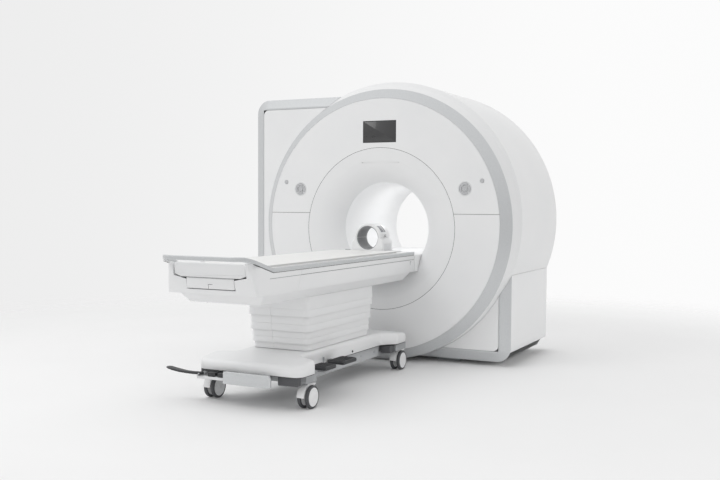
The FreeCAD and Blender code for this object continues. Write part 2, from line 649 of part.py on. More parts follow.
def base(tubes):
    def footprint(inset):
        half = [
            ("base_front", "base_half", inset), ("base_shoulder", "base_half", 0), ("waist_front", "waist_half", 0),
            ("waist_rear", "waist_half", 0), ("base_neck", "rear_half", inset), ("base_rear", "rear_half", -inset),
        ]
        right = [(f"{wide} - {inset}", f"-{depth} + {shift}") for depth, wide, shift in half]
        left = [(f"-{wide} + {inset}", f"-{depth} + {shift}") for depth, wide, shift in half]
        return right + left[::-1]

    def solid(inset, low):
        flat = extruded("XY_Plane", footprint(inset), (0, 0, 1), 400, low, "footprint")
        shaped = rounded(flat, 55 - inset, lambda e: along(e, "z"))
        brim, top = f"skirt_high - {inset}", f"cover_top - {inset}"
        crown = [
            ("-base_front - 50", 0), ("-base_front - 50", f"{brim} - 7"), ("-base_front", brim),
            ("-column_front + 40", top), ("-column_rear - 40", top), ("-base_rear", brim),
            ("-base_rear + 50", f"{brim} - 7"), ("-base_rear + 50", 0),
        ]
        return meet(shaped, side_slab(crown, "base_half + 20", "crown"))

    hole = block(("-column_half + 45", "column_half - 45"), ("-column_front + 60", "-column_rear - 60"), (0, 400))
    keep("base_cover", cut(solid(0, "skirt_low"), solid(5, 0), hole))
    rails = [
        block((f"{side} * 170 - 28", f"{side} * 170 + 28"), (-1650, -315), ("frame_low", "frame_top"))
        for side in (-1, 1)
    ]
    ends = [
        block((-338, 338), ("-caster_front - 60", "-caster_front + 60"), ("caster_plate", "frame_top")),
        block((-300, 300), ("-caster_rear - 130", "-caster_rear + 36"), ("caster_plate", "frame_top")),
    ]
    middle = block((-198, 198), (-1230, -720), ("frame_low", "frame_low + 22"))
    dock = block((-55, 55), (-230, -14), (124, 160))
    pins = [part for low, high in SIDE_PIVOTS for part in side_pivot(low, high)]
    lug = ("-front_pivot_x - 12", "-front_pivot_x + 12")
    pins.append(block(lug, ("-front_pivot_y + 22", -1655), (152, 184)))
    pins.append(rod("y", "pin_radius", ("-front_pivot_y - 22", "-front_pivot_y + 34"), ("-front_pivot_x", "front_pivot_z")))
    bores = [rod("z", "post_radius + post_fit", (0, 800), (0, at)) for at in ("-post_front", "-post_rear")]
    keep("base_frame", cut(join(*rails, *ends, middle, dock, *pins, *tubes), *bores))
    face = side_slab([(-1823, 137), (-1787, 133), (-1787, 187), (-1823, 211)], "200", "bumper_side")
    width = block((-132, 196), (-1850, -1750), (100, 220))
    arm = block((-328, -100), (-1810, -1791), (147, 164))
    ties = [block((x, x + 40), (-1805, -1661), (150, 170)) for x in (-125, 60)]
    keep("front_bumper", join(meet(face, width), arm, *ties))


SIDE_PIVOTS = ((-1475, -1415), (-1296, -1270), (-1230, -1170))  # along Y: front pedal, lever, rear pedal
LUG = 7


def side_pivot(low, high):
    """Two lugs on the frame with a pin between them."""
    lugs = [block((190, "pivot_x + 11"), (at, at + LUG), ("pivot_z - 10", "pivot_z + 9")) for at in (low, high - LUG)]
    return [*lugs, rod("y", "pin_radius", (low, high), ("pivot_x", "pivot_z"))]


def side_hub(low, high):
    """The sleeve that turns on a side pivot's pin, and its hole."""
    spot = ("pivot_x", "pivot_z")
    hub = rod("y", "hub_radius", (low + LUG + 1, high - LUG - 1), spot)
    return hub, rod("y", "pin_radius + 0.05", (low, high), spot)


def pedals():
    spot = ("-front_pivot_x", "front_pivot_z")
    hub = rod("y", "hub_radius", ("-front_pivot_y - 18", "-front_pivot_y + 18"), spot)
    hole = rod("y", "pin_radius + 0.05", ("-front_pivot_y - 30", "-front_pivot_y + 30"), spot)
    shank = block((-470, "-front_pivot_x"), ("-front_pivot_y - 11", "-front_pivot_y + 11"), (172, 188), "shank")
    pad = rounded(block((-545, -450), (-1837, -1781), (180, 196), "pad"), 6, lambda e: True)
    keep("pedal_front", cut(join(hub, shank, pad), hole))
    for name, pivot, low, high in (("front", SIDE_PIVOTS[0], -1513, -1379), ("rear", SIDE_PIVOTS[2], -1290, -1110)):
        hub, hole = side_hub(*pivot)
        pad = rounded(block((272, 386), (low, high), (204, 222)), 7, lambda e: True)
        shank = block(("pivot_x - 5", "pivot_x + 16"), (pivot[0] + LUG + 4, pivot[1] - LUG - 4), ("pivot_z", 216))
        arm = block(("pivot_x - 5", 300), (pivot[0] + LUG + 4, pivot[1] - LUG - 4), (206, 216))
        keep(f"pedal_side_{name}", cut(join(hub, shank, arm, pad), hole))
    low, high = SIDE_PIVOTS[1]
    hub, hole = side_hub(low, high)
    middle = (low + high) / 2
    stick = rod("z", 4, ("pivot_z", 238), ("pivot_x + 2", middle))
    knob = rod("z", 5.5, (222, 242), ("pivot_x + 2", middle))
    keep("side_lever", cut(join(hub, stick, knob), hole))


def casters():
    places = {
        "front_left": ("-front_track", "-caster_front"), "front_right": ("front_track", "-caster_front"),
        "rear_left": ("-rear_track", "-caster_rear"), "rear_right": ("rear_track", "-caster_rear"),
    }
    for name, (x, y) in places.items():
        hub = f"{y} - trail"
        stem = rod("z", 12, (120, "caster_plate - 1"), (x, y))
        collar = rod("z", 34, ("2 * wheel_radius + 2", "caster_plate - 1"), (x, y))
        leg = block(
            (f"{x} - wheel_gap / 2 + 1.5", f"{x} + wheel_gap / 2 - 1.5"), (f"{hub} - 26", f"{y} + 26"),
            ("wheel_radius - 22", "2 * wheel_radius + 3"))
        bore = rod("x", "axle_radius + 0.05", (f"{x} - 60", f"{x} + 60"), (hub, "wheel_radius"))
        soft = rounded(leg, 10, lambda e: along(e, "x"))
        keep(f"caster_fork_{name}", cut(join(stem, collar, soft), bore))
        axle = rod("x", "axle_radius", (f"{x} - wheel_gap / 2 - 4", f"{x} + wheel_gap / 2 + 4"), (hub, "wheel_radius"))
        wheels = []
        for way in (-1, 1):
            near = f"{x} + {way} * wheel_gap / 2"
            far = f"{near} + {way} * wheel_width"
            span = (near, far) if way > 0 else (far, near)
            disc = rod("x", "wheel_radius", span, (hub, "wheel_radius"))
            wheels.append(rounded(disc, 6, lambda e: e.Length > 300))
        keep(f"caster_wheel_{name}", join(axle, *wheels))


magnet()
bore()
front_cover()
covers()
housing_front()
controls()
table_top()
bridge()
cradle()
receive_coil()
base(column())
pedals()
casters()
doc.recompute()

for item in doc.Objects:
    if "Invalid" in item.State or "Error" in item.State:
        raise RuntimeError(f"{item.Name} ({item.Label}) failed: {item.State}")
for name, item in pieces.items():
    shape = item.Shape
    if shape.isNull() or not shape.isValid() or not shape.Solids:
        raise RuntimeError(f"{name} has no valid shape")

os.makedirs("parts", exist_ok=True)
for name, item in pieces.items():
    item.Shape.exportStep(f"parts/{name}.step")
    print(name, len(item.Shape.Solids), round(item.Shape.Volume / 1e6, 2))
print(len(pieces), "pieces")
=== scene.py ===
import json
import math

import bmesh
import bpy
from mathutils import Matrix, Vector


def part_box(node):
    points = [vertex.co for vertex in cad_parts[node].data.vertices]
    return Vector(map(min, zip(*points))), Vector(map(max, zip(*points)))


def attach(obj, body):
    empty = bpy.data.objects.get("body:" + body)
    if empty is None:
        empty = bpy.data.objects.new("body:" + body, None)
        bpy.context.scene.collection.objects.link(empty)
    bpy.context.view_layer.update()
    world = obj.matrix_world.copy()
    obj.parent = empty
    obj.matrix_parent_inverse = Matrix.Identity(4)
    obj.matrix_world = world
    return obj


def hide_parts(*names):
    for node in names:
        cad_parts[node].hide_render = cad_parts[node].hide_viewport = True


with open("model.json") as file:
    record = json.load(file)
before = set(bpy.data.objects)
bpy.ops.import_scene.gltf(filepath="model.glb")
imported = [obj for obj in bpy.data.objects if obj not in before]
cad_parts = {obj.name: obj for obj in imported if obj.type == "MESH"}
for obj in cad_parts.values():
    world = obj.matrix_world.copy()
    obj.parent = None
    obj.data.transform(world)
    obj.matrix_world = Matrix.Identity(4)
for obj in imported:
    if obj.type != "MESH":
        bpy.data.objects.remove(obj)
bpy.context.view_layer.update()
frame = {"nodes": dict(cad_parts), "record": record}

MM = 0.001
TURN = 2 * math.pi
scene = bpy.context.scene
nodes = frame["nodes"]
home = {node: body for body, group in frame["record"]["behaviour"]["bodies"].items() for node in group}

scene.view_settings.view_transform = "Standard"
scene.view_settings.look = "None"
scene.cycles.use_denoising = True


# ---- camera ----

def add_camera():
    """The viewer stands to the right of the trolley's foot end, with the lens a little above waist height."""
    lens = bpy.data.cameras.new("camera")
    lens.lens = 46.25
    lens.sensor_width = 36
    lens.clip_end = 200
    camera = bpy.data.objects.new("camera", lens)
    camera.location = (3.009, -6.254, 1.204)
    camera.rotation_euler = [math.radians(angle) for angle in (87.61, -0.25, 26.87)]
    scene.collection.objects.link(camera)
    scene.camera = camera


add_camera()


# ---- colours and nodes ----

def linear(code):
    """A linear colour from an sRGB hex value."""
    parts = [int(code[at:at + 2], 16) / 255 for at in (1, 3, 5)]
    return [*(p / 12.92 if p <= 0.04045 else ((p + 0.055) / 1.055) ** 2.4 for p in parts), 1.0]


def add(tree, kind, inputs=None, **settings):
    """A node with its settings; an input takes a value, or a link from another node's output."""
    made = tree.nodes.new("ShaderNode" + kind)
    for name, value in settings.items():
        setattr(made, name, value)
    for name, value in (inputs or {}).items():
        if isinstance(value, bpy.types.NodeSocket):
            tree.links.new(value, made.inputs[name])
        else:
            made.inputs[name].default_value = value
    return made


def per(size):
    """The texture scale at which a feature is this many millimetres across."""
    return 1 / (size * MM)


def start(name, **values):
    """A new material, its tree, shader and coordinates; the values go on the shader's own sockets."""
    made = bpy.data.materials.new(name)
    made.use_nodes = True
    tree = made.node_tree
    shader = tree.nodes["Principled BSDF"]
    for key, value in values.items():
        shader.inputs[key.replace("_", " ")].default_value = value
    where = add(tree, "TexCoord").outputs["Object"]
    return made, tree, shader, where


def tinted(tree, shader, amount, dark, light):
    """The shader's colour runs from dark to light with an amount."""
    mix = add(tree, "Mix", {"Factor": amount, "A": linear(dark), "B": linear(light)}, data_type="RGBA")
    tree.links.new(mix.outputs["Result"], shader.inputs["Base Color"])


def shined(tree, shader, amount, low, high):
    """The shader's roughness runs from low to high with an amount."""
    span = add(tree, "MapRange", {"Value": amount, "To Min": low, "To Max": high})
    tree.links.new(span.outputs["Result"], shader.inputs["Roughness"])


def raised(tree, shader, height, depth, strength=1.0):
    """The surface stands up by a depth in millimetres where the height is one."""
    bump = add(tree, "Bump", {"Height": height, "Distance": depth * MM, "Strength": strength})
    tree.links.new(bump.outputs["Normal"], shader.inputs["Normal"])


# ---- materials ----

def lacquered_shell():
    """White polyurethane lacquer on glass fibre: satin, with a faint orange peel and slow tone drift."""
    made, tree, shader, where = start("lacquered_shell", Coat_Weight=0.25, Coat_Roughness=0.18)
    drift = add(tree, "TexNoise", {"Vector": where, "Scale": per(420), "Detail": 3.0})
    tinted(tree, shader, drift.outputs["Fac"], "#EDEEEF", "#F5F5F5")
    # orange peel is about 3 mm across on the real lacquer; it is drawn at 9 mm so that it shows
    peel = add(tree, "TexNoise", {"Vector": where, "Scale": per(9), "Detail": 2.0})
    shined(tree, shader, peel.outputs["Fac"], 0.34, 0.46)
    raised(tree, shader, peel.outputs["Fac"], 0.12, 0.5)
    return made


def silver_lacquer():
    """Silver metallic lacquer over a moulding: fine flake that sparkles under a clear coat."""
    made, tree, shader, where = start("silver_lacquer", Metallic=0.45, Coat_Weight=0.35, Coat_Roughness=0.12)
    # flakes are about 0.05 mm; they are drawn at 2.5 mm so that they show
    flake = add(tree, "TexVoronoi", {"Vector": where, "Scale": per(2.5)})
    tinted(tree, shader, flake.outputs["Color"], "#CACCCE", "#D8DADB")
    shined(tree, shader, flake.outputs["Distance"], 0.36, 0.48)
    raised(tree, shader, flake.outputs["Distance"], 0.03, 0.4)
    return made


def bore_gelcoat():
    """Moulded glass-fibre tube with a white gelcoat: smoother than the lacquer, with a long soft gleam."""
    made, tree, shader, where = start("bore_gelcoat", Coat_Weight=0.4, Coat_Roughness=0.1)
    drift = add(tree, "TexNoise", {"Vector": where, "Scale": per(300), "Detail": 2.0})
    tinted(tree, shader, drift.outputs["Fac"], "#F3F4F5", "#F9F9F9")
    ripple = add(tree, "TexNoise", {"Vector": where, "Scale": per(14), "Detail": 1.0})
    shined(tree, shader, ripple.outputs["Fac"], 0.28, 0.36)
    raised(tree, shader, ripple.outputs["Fac"], 0.08, 0.4)
    return made


def smoked_acrylic():
    """Cast acrylic window with a smoked back: near black, glossy, with hazy wipe marks."""
    made, tree, shader, where = start("smoked_acrylic", Coat_Weight=0.5, Coat_Roughness=0.05)
    haze = add(tree, "TexNoise", {"Vector": where, "Scale": per(90), "Detail": 4.0})
    tinted(tree, shader, haze.outputs["Fac"], "#343435", "#3E3E3F")
    shined(tree, shader, haze.outputs["Fac"], 0.22, 0.36)
    return made


def moulded_abs(name, dark, light, texture=1.2, rough=(0.42, 0.52)):
    """Injection-moulded ABS: a fine spark-eroded texture over an even colour."""
    made, tree, shader, where = start(name)
    # spark texture is about 0.15 mm; it is drawn coarser so that it shows
    grain = add(tree, "TexVoronoi", {"Vector": where, "Scale": per(texture)}, feature="SMOOTH_F1")
    drift = add(tree, "TexNoise", {"Vector": where, "Scale": per(60), "Detail": 3.0})
    tinted(tree, shader, drift.outputs["Fac"], dark, light)
    shined(tree, shader, grain.outputs["Distance"], *rough)
    raised(tree, shader, grain.outputs["Distance"], 0.06, 0.5)
    return made


def silicone_key():
    """Silicone rubber keys: matt and slightly soft to the light."""
    made, tree, shader, where = start("silicone_key", Sheen_Weight=0.15, Sheen_Roughness=0.4)
    dust = add(tree, "TexNoise", {"Vector": where, "Scale": per(5), "Detail": 5.0})
    tinted(tree, shader, dust.outputs["Fac"], "#BCBDBF", "#C9CACC")
    shined(tree, shader, dust.outputs["Fac"], 0.55, 0.68)
    raised(tree, shader, dust.outputs["Fac"], 0.05, 0.4)
    return made


def welded_vinyl(name, dark, light):
    """Calendered vinyl over foam: fine leather grain, soft gloss, tiny creases."""
    made, tree, shader, where = start(name, Coat_Weight=0.12, Coat_Roughness=0.3)
    # the embossed grain is about 1 mm; it is drawn at 3 mm so that it shows
    grain = add(tree, "TexVoronoi", {"Vector": where, "Scale": per(3)}, feature="DISTANCE_TO_EDGE")
    crease = add(tree, "TexNoise", {"Vector": where, "Scale": per(70), "Detail": 5.0, "Distortion": 0.6})
    tinted(tree, shader, crease.outputs["Fac"], dark, light)
    shined(tree, shader, crease.outputs["Fac"], 0.42, 0.58)
    both = add(tree, "Math", {0: grain.outputs["Distance"], 1: crease.outputs["Fac"]}, operation="ADD")
    raised(tree, shader, both.outputs["Value"], 0.35, 0.5)
    return made


def coil_foam():
    """Dark closed-cell foam and lining inside the receive coil."""
    made, tree, shader, where = start("coil_foam", Sheen_Weight=0.2)
    cells = add(tree, "TexVoronoi", {"Vector": where, "Scale": per(2)})
    tinted(tree, shader, cells.outputs["Distance"], "#8A8B8D", "#A2A3A5")
    shined(tree, shader, cells.outputs["Distance"], 0.6, 0.8)
    raised(tree, shader, cells.outputs["Distance"], 0.25, 0.6)
    return made


def powder_coat(name, dark, light):
    """Powder-coated steel: an even colour with a pebbled skin."""
    made, tree, shader, where = start(name)
    # the pebble is about 0.8 mm; it is drawn at 3 mm so that it shows
    pebble = add(tree, "TexNoise", {"Vector": where, "Scale": per(3), "Detail": 2.0})
    tinted(tree, shader, pebble.outputs["Fac"], dark, light)
    shined(tree, shader, pebble.outputs["Fac"], 0.45, 0.6)
    raised(tree, shader, pebble.outputs["Fac"], 0.12, 0.5)
    return made


def tread_rubber():
    """Cast polyurethane tyre: dark grey, dull, scuffed lighter on the tread."""
    made, tree, shader, where = start("tread_rubber")
    scuff = add(tree, "TexNoise", {"Vector": where, "Scale": per(18), "Detail": 8.0, "Roughness": 0.7})
    tinted(tree, shader, scuff.outputs["Fac"], "#434446", "#5C5D60")
    shined(tree, shader, scuff.outputs["Fac"], 0.55, 0.8)
    raised(tree, shader, scuff.outputs["Fac"], 0.2, 0.4)
    return made


def turned_steel(name, dark, light, pitch=1.5):
    """Machined or brushed steel: fine lines from the tool, bright where they catch the light."""
    made, tree, shader, where = start(name, Metallic=1.0)
    stretched = add(tree, "Mapping", {"Vector": where, "Scale": (1.0, 1.0, 14.0)})
    lines = add(tree, "TexNoise", {"Vector": stretched.outputs["Vector"], "Scale": per(pitch * 20),
        "Detail": 6.0})
    tinted(tree, shader, lines.outputs["Fac"], dark, light)
    shined(tree, shader, lines.outputs["Fac"], 0.22, 0.42)
    raised(tree, shader, lines.outputs["Fac"], 0.04, 0.4)
    return made


def wound_copper():
    """Enamelled copper wire potted in amber resin: even turns along the former."""
    made, tree, shader, where = start("wound_copper", Metallic=0.6, Coat_Weight=0.5)
    # the conductor is about 2 mm; a turn is drawn every 6 mm so that it shows
    turns = add(tree, "TexWave", {"Vector": where, "Scale": per(6) / TURN, "Distortion": 0.4},
        bands_direction="Y")
    tinted(tree, shader, turns.outputs["Fac"], "#6E4326", "#B0764A")
    shined(tree, shader, turns.outputs["Fac"], 0.3, 0.45)
    raised(tree, shader, turns.outputs["Fac"], 0.6, 0.7)
    return made


def glass_epoxy():
    """Filament-wound glass and epoxy tube: amber green, with crossing fibre bands."""
    made, tree, shader, where = start("glass_epoxy", Coat_Weight=0.3)
    bands = add(tree, "TexWave", {"Vector": where, "Scale": per(8) / TURN, "Distortion": 1.5},
        bands_direction="DIAGONAL")
    tinted(tree, shader, bands.outputs["Fac"], "#A9A27C", "#BDB793")
    shined(tree, shader, bands.outputs["Fac"], 0.35, 0.5)
    raised(tree, shader, bands.outputs["Fac"], 0.15, 0.5)
    return made


def studio_floor():
    """Plain pale studio floor: matt paint that fades away with distance into the surround."""
    made, tree, shader, where = start("studio_floor", Roughness=0.9, Specular_IOR_Level=0.1)
    mottle = add(tree, "TexNoise", {"Vector": where, "Scale": per(900), "Detail": 4.0})
    tinted(tree, shader, mottle.outputs["Fac"], "#F6F6F6", "#FAFAFA")
    reach = add(tree, "VectorMath", {0: where}, operation="LENGTH")
    fade = add(tree, "MapRange", {
        "Value": reach.outputs["Value"], "From Min": 2.6, "From Max": 6.0,
    }, interpolation_type="SMOOTHSTEP")
    clear = add(tree, "BsdfTransparent")
    both = add(tree, "MixShader", {0: fade.outputs["Result"], 1: shader.outputs["BSDF"],
        2: clear.outputs["BSDF"]})
    tree.links.new(both.outputs["Shader"], tree.nodes["Material Output"].inputs["Surface"])
    return made


SHELL = lacquered_shell()
SILVER = silver_lacquer()
GELCOAT = bore_gelcoat()
ACRYLIC = smoked_acrylic()
PALE_ABS = moulded_abs("pale_abs", "#DEDFE0", "#E8E9EA")
WHITE_ABS = moulded_abs("white_abs", "#ECECED", "#F4F4F4", rough=(0.34, 0.44))
GREY_ABS = moulded_abs("grey_abs", "#8E8F92", "#A0A1A4")
DARK_ABS = moulded_abs("dark_abs", "#2B2C2E", "#3A3B3E", texture=2.0, rough=(0.38, 0.55))
KEY = silicone_key()
VINYL = welded_vinyl("pad_vinyl", "#EEEEEC", "#F6F6F5")
FOAM = coil_foam()
FRAME_GREY = powder_coat("frame_grey", "#A6A8AA", "#B6B8BA")
FRAME_DARK = powder_coat("frame_dark", "#4A4B4D", "#5A5B5E")
RAIL_GREY = powder_coat("rail_grey", "#B9BBBD", "#C6C8CA")
# this dark seal material also paints the shadow under the table's silver rail
SEAL_AND_SHADOW = moulded_abs("seal_rubber_and_shadow", "#4B4C4E", "#5A5B5D", rough=(0.6, 0.75))
# this dark joint material also paints the shadow in the line below the rail's white bevel
SEAM_AND_SHADOW = moulded_abs("joint_filler_and_shadow", "#808183", "#8C8D8F", rough=(0.6, 0.75))
PIPING = welded_vinyl("piping_vinyl", "#DCDDDC", "#E6E6E5")
TREAD = tread_rubber()
POLISHED = turned_steel("polished_steel", "#A5A8AC", "#C9CCD0")
STAINLESS = turned_steel("stainless_steel", "#9A9DA0", "#B9BCBF", pitch=4)
COPPER = wound_copper()
EPOXY = glass_epoxy()

FINISHES = {
    "white_cover": SHELL, "bore_liner": GELCOAT, "silver_trim": SILVER, "screen": ACRYLIC,
    "grey_keys": PALE_ABS,
    "vessel_steel": STAINLESS, "coil_winding": COPPER, "frame_steel": FRAME_GREY, "pedal_rubber": DARK_ABS,
    "caster_fork": WHITE_ABS, "caster_wheel": TREAD, "mattress_cover": VINYL,
}


# ---- mesh tools, in millimetres ----

def corners(node):
    """The lowest and highest corner of a CAD node."""
    low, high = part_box(node)
    return low / MM, high / MM


def shown(name, bm, body, finish, stands_for=(), sharp=35):
    """The mesh as a piece that rides on a body."""
    bmesh.ops.recalc_face_normals(bm, faces=bm.faces)
    mesh = bpy.data.meshes.new(name)
    bm.to_mesh(mesh)
    bm.free()
    mesh.transform(Matrix.Scale(MM, 4))
    mesh.polygons.foreach_set("use_smooth", [True] * len(mesh.polygons))
    mesh.set_sharp_from_angle(angle=math.radians(sharp))
    mesh.materials.append(finish)
    piece = bpy.data.objects.new(name, mesh)
    scene.collection.objects.link(piece)
    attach(piece, body)
    if stands_for:
        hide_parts(*stands_for)
    return piece


def skin(bm, rings, closed=False, caps=True):
    """Faces between rings of points; the rings join up where closed, and else the end rings are capped."""
    made = [[bm.verts.new(p) for p in ring] for ring in rings]
    count = len(made[0])
    pairs = list(zip(made, made[1:]))
    if closed:
        pairs.append((made[-1], made[0]))
    for one, two in pairs:
        for at in range(count):
            after = (at + 1) % count
            bm.faces.new((one[at], one[after], two[after], two[at]))
    if caps and not closed:
        bm.faces.new(made[0])
        bm.faces.new(made[-1])
    return made


def eased(outline, radius, steps=6):
    """A closed outline with each corner turned into an arc; one radius, or one for each corner."""
    points = [Vector(p) for p in outline]
    reach = radius if isinstance(radius, (list, tuple)) else [radius] * len(points)
    made = []
    for at, corner in enumerate(points):
        before = (points[at - 1] - corner).normalized()
        after = (points[(at + 1) % len(points)] - corner).normalized()
        half = math.acos(max(-1.0, min(1.0, before.dot(after)))) / 2
        if reach[at] <= 0 or half > math.pi / 2 - 0.01:
            made.append(corner)
            continue
        middle = (before + after).normalized()
        centre = corner + middle * (reach[at] / math.sin(half))
        first = corner + before * (reach[at] / math.tan(half)) - centre
        last = corner + after * (reach[at] / math.tan(half)) - centre
        angle = first.angle(last)
        for step in range(steps + 1):
            share = step / steps
            swept = first * math.sin((1 - share) * angle) + last * math.sin(share * angle)
            made.append(centre + swept / math.sin(angle))
    return made


def inset(outline, distance):
    """An anticlockwise outline moved inwards."""
    made = []
    for at, point in enumerate(outline):
        one = (point - outline[at - 1]).normalized()
        two = (outline[(at + 1) % len(outline)] - point).normalized()
        way = Vector((-one.y - two.y, one.x + two.x))
        length = way.length
        way = way / length if length > 1e-6 else Vector((-one.y, one.x))
        made.append(point + way * (distance / max(0.5, length / 2)))
    return made


def box_outline(low, high, radius, steps=6):
    """A rounded rectangle between two plan corners."""
    (x0, y0), (x1, y1) = low, high
    return eased([(x0, y0), (x1, y0), (x1, y1), (x0, y1)], radius, steps)


def placed(outline, axis, along):
    """Outline points at a distance along an axis; their values go on the other axes, in X, Y, Z order."""
    if axis == "x":
        return [Vector((along, p[0], p[1])) for p in outline]
    if axis == "y":
        return [Vector((p[0], along, p[1])) for p in outline]
    return [Vector((p[0], p[1], along)) for p in outline]


def slab(bm, outline, axis, low, high, edge=0.0, steps=3):
    """An outline as a solid between two planes, with its rims rounded."""
    rings = []
    for way, plane in ((1, low), (-1, high)):
        arc = []
        for step in range(steps + 1 if edge else 1):
            turn = step / steps * math.pi / 2 if edge else 0
            arc.append(placed(inset(outline, edge * (1 - math.sin(turn))), axis,
                plane + way * edge * (1 - math.cos(turn))))
        rings += arc if way == 1 else arc[::-1]
    return skin(bm, rings)


def spun(bm, profile, axis, centre, steps=64, closed=True):
    """A profile of (along, radius) points turned about an axis through a point."""
    rings = []
    for along, radius in profile:
        circle = [(radius * math.cos(TURN * i / steps),
            radius * math.sin(TURN * i / steps)) for i in range(steps)]
        rings.append([p + Vector(centre) for p in placed(circle, axis, along)])
    return skin(bm, rings, closed)


def softened(node, width, finish, steps=3, sharp=28, name=None):
    """A CAD piece again, with its hard edges rounded."""
    bm = bmesh.new()
    bm.from_mesh(nodes[node].data)
    bmesh.ops.scale(bm, vec=(1 / MM,) * 3, verts=bm.verts)
    bmesh.ops.remove_doubles(bm, verts=bm.verts, dist=0.01)
    bmesh.ops.dissolve_limit(bm, angle_limit=math.radians(0.6), verts=bm.verts, edges=bm.edges)
    hard = [
        edge for edge in bm.edges
        if len(edge.link_faces) == 2 and edge.calc_face_angle(0) > math.radians(sharp)
    ]
    bmesh.ops.bevel(
        bm, geom=hard, offset=width, offset_type="OFFSET", segments=steps, profile=0.5, affect="EDGES",
        clamp_overlap=True)
    return shown(name or node + "_piece", bm, home[node], finish, stands_for=[node])


# ---- carried-over CAD pieces ----

OTHER_FINISH = {
    "rf_body_coil": EPOXY, "gradient_coil": EPOXY, "cold_head": POLISHED, "lift_posts": POLISHED,
    "front_funnel": SHELL, "rear_funnel": GELCOAT, "base_frame": FRAME_GREY, "side_lever": POLISHED,
}


def paint_nodes():
    """Gives the CAD pieces that stay in view their finishes."""
    slot_of = {part["node"]: part["material_slot"] for part in frame["record"]["subparts"]}
    for node, piece in nodes.items():
        finish = OTHER_FINISH.get(node, FINISHES[slot_of[node]])
        piece.data.materials.clear()
        piece.data.materials.append(finish)


paint_nodes()


# ---- trolley column ----

def column_stage(node, laps, seam_x=-44):
    """One telescoping cover: moulded laps that lean outwards and end in a rounded lip over a groove."""
    low, high = corners(node)
    wall, lean, lip, groove = 2.4, 3.0, 2.5, 4.5
    outline = box_outline(low.xy, high.xy, 45, 8)
    # a fine joint runs down the foot face, where the two halves of the cover meet
    foot = min(p.y for p in outline)
    joint = [Vector((seam_x + dx, foot + dy)) for dx, dy in ((-2.2, 0), (-1.2, 2.0), (1.2, 2.0), (2.2, 0))]
    at = next(i for i, p in enumerate(outline) if p.x > 0 and abs(p.y - foot) < 1e-6)
    outline[at:at] = joint
    edges = [high.z, *laps, low.z]
    section = []
    for top, bottom in zip(edges, edges[1:]):
        last = bottom == low.z
        section.append((lean if top == high.z else lean + 1.0, top if top == high.z else top - 1.0))
        section.append((0.0, bottom + lip))
        section.append((0.7, bottom + lip * 0.35))
        section.append((lip, bottom))
        if not last:
            section.append((groove, bottom - 0.6))
    section.append((wall + lip, low.z + 0.5))
    section.append((wall + lean + 2.6, high.z - 0.5))
    bm = bmesh.new()
    skin(bm, [placed(inset(outline, distance), "z", height) for distance, height in section], closed=True)
    return shown(node + "_cover", bm, home[node], SHELL, [node])


column_stage("column_stage_one", (546,))
column_stage("column_stage_two", (451,))
column_stage("column_stage_three", (366,))
column_stage("column_stage_four", ())


# ---- trolley base ----

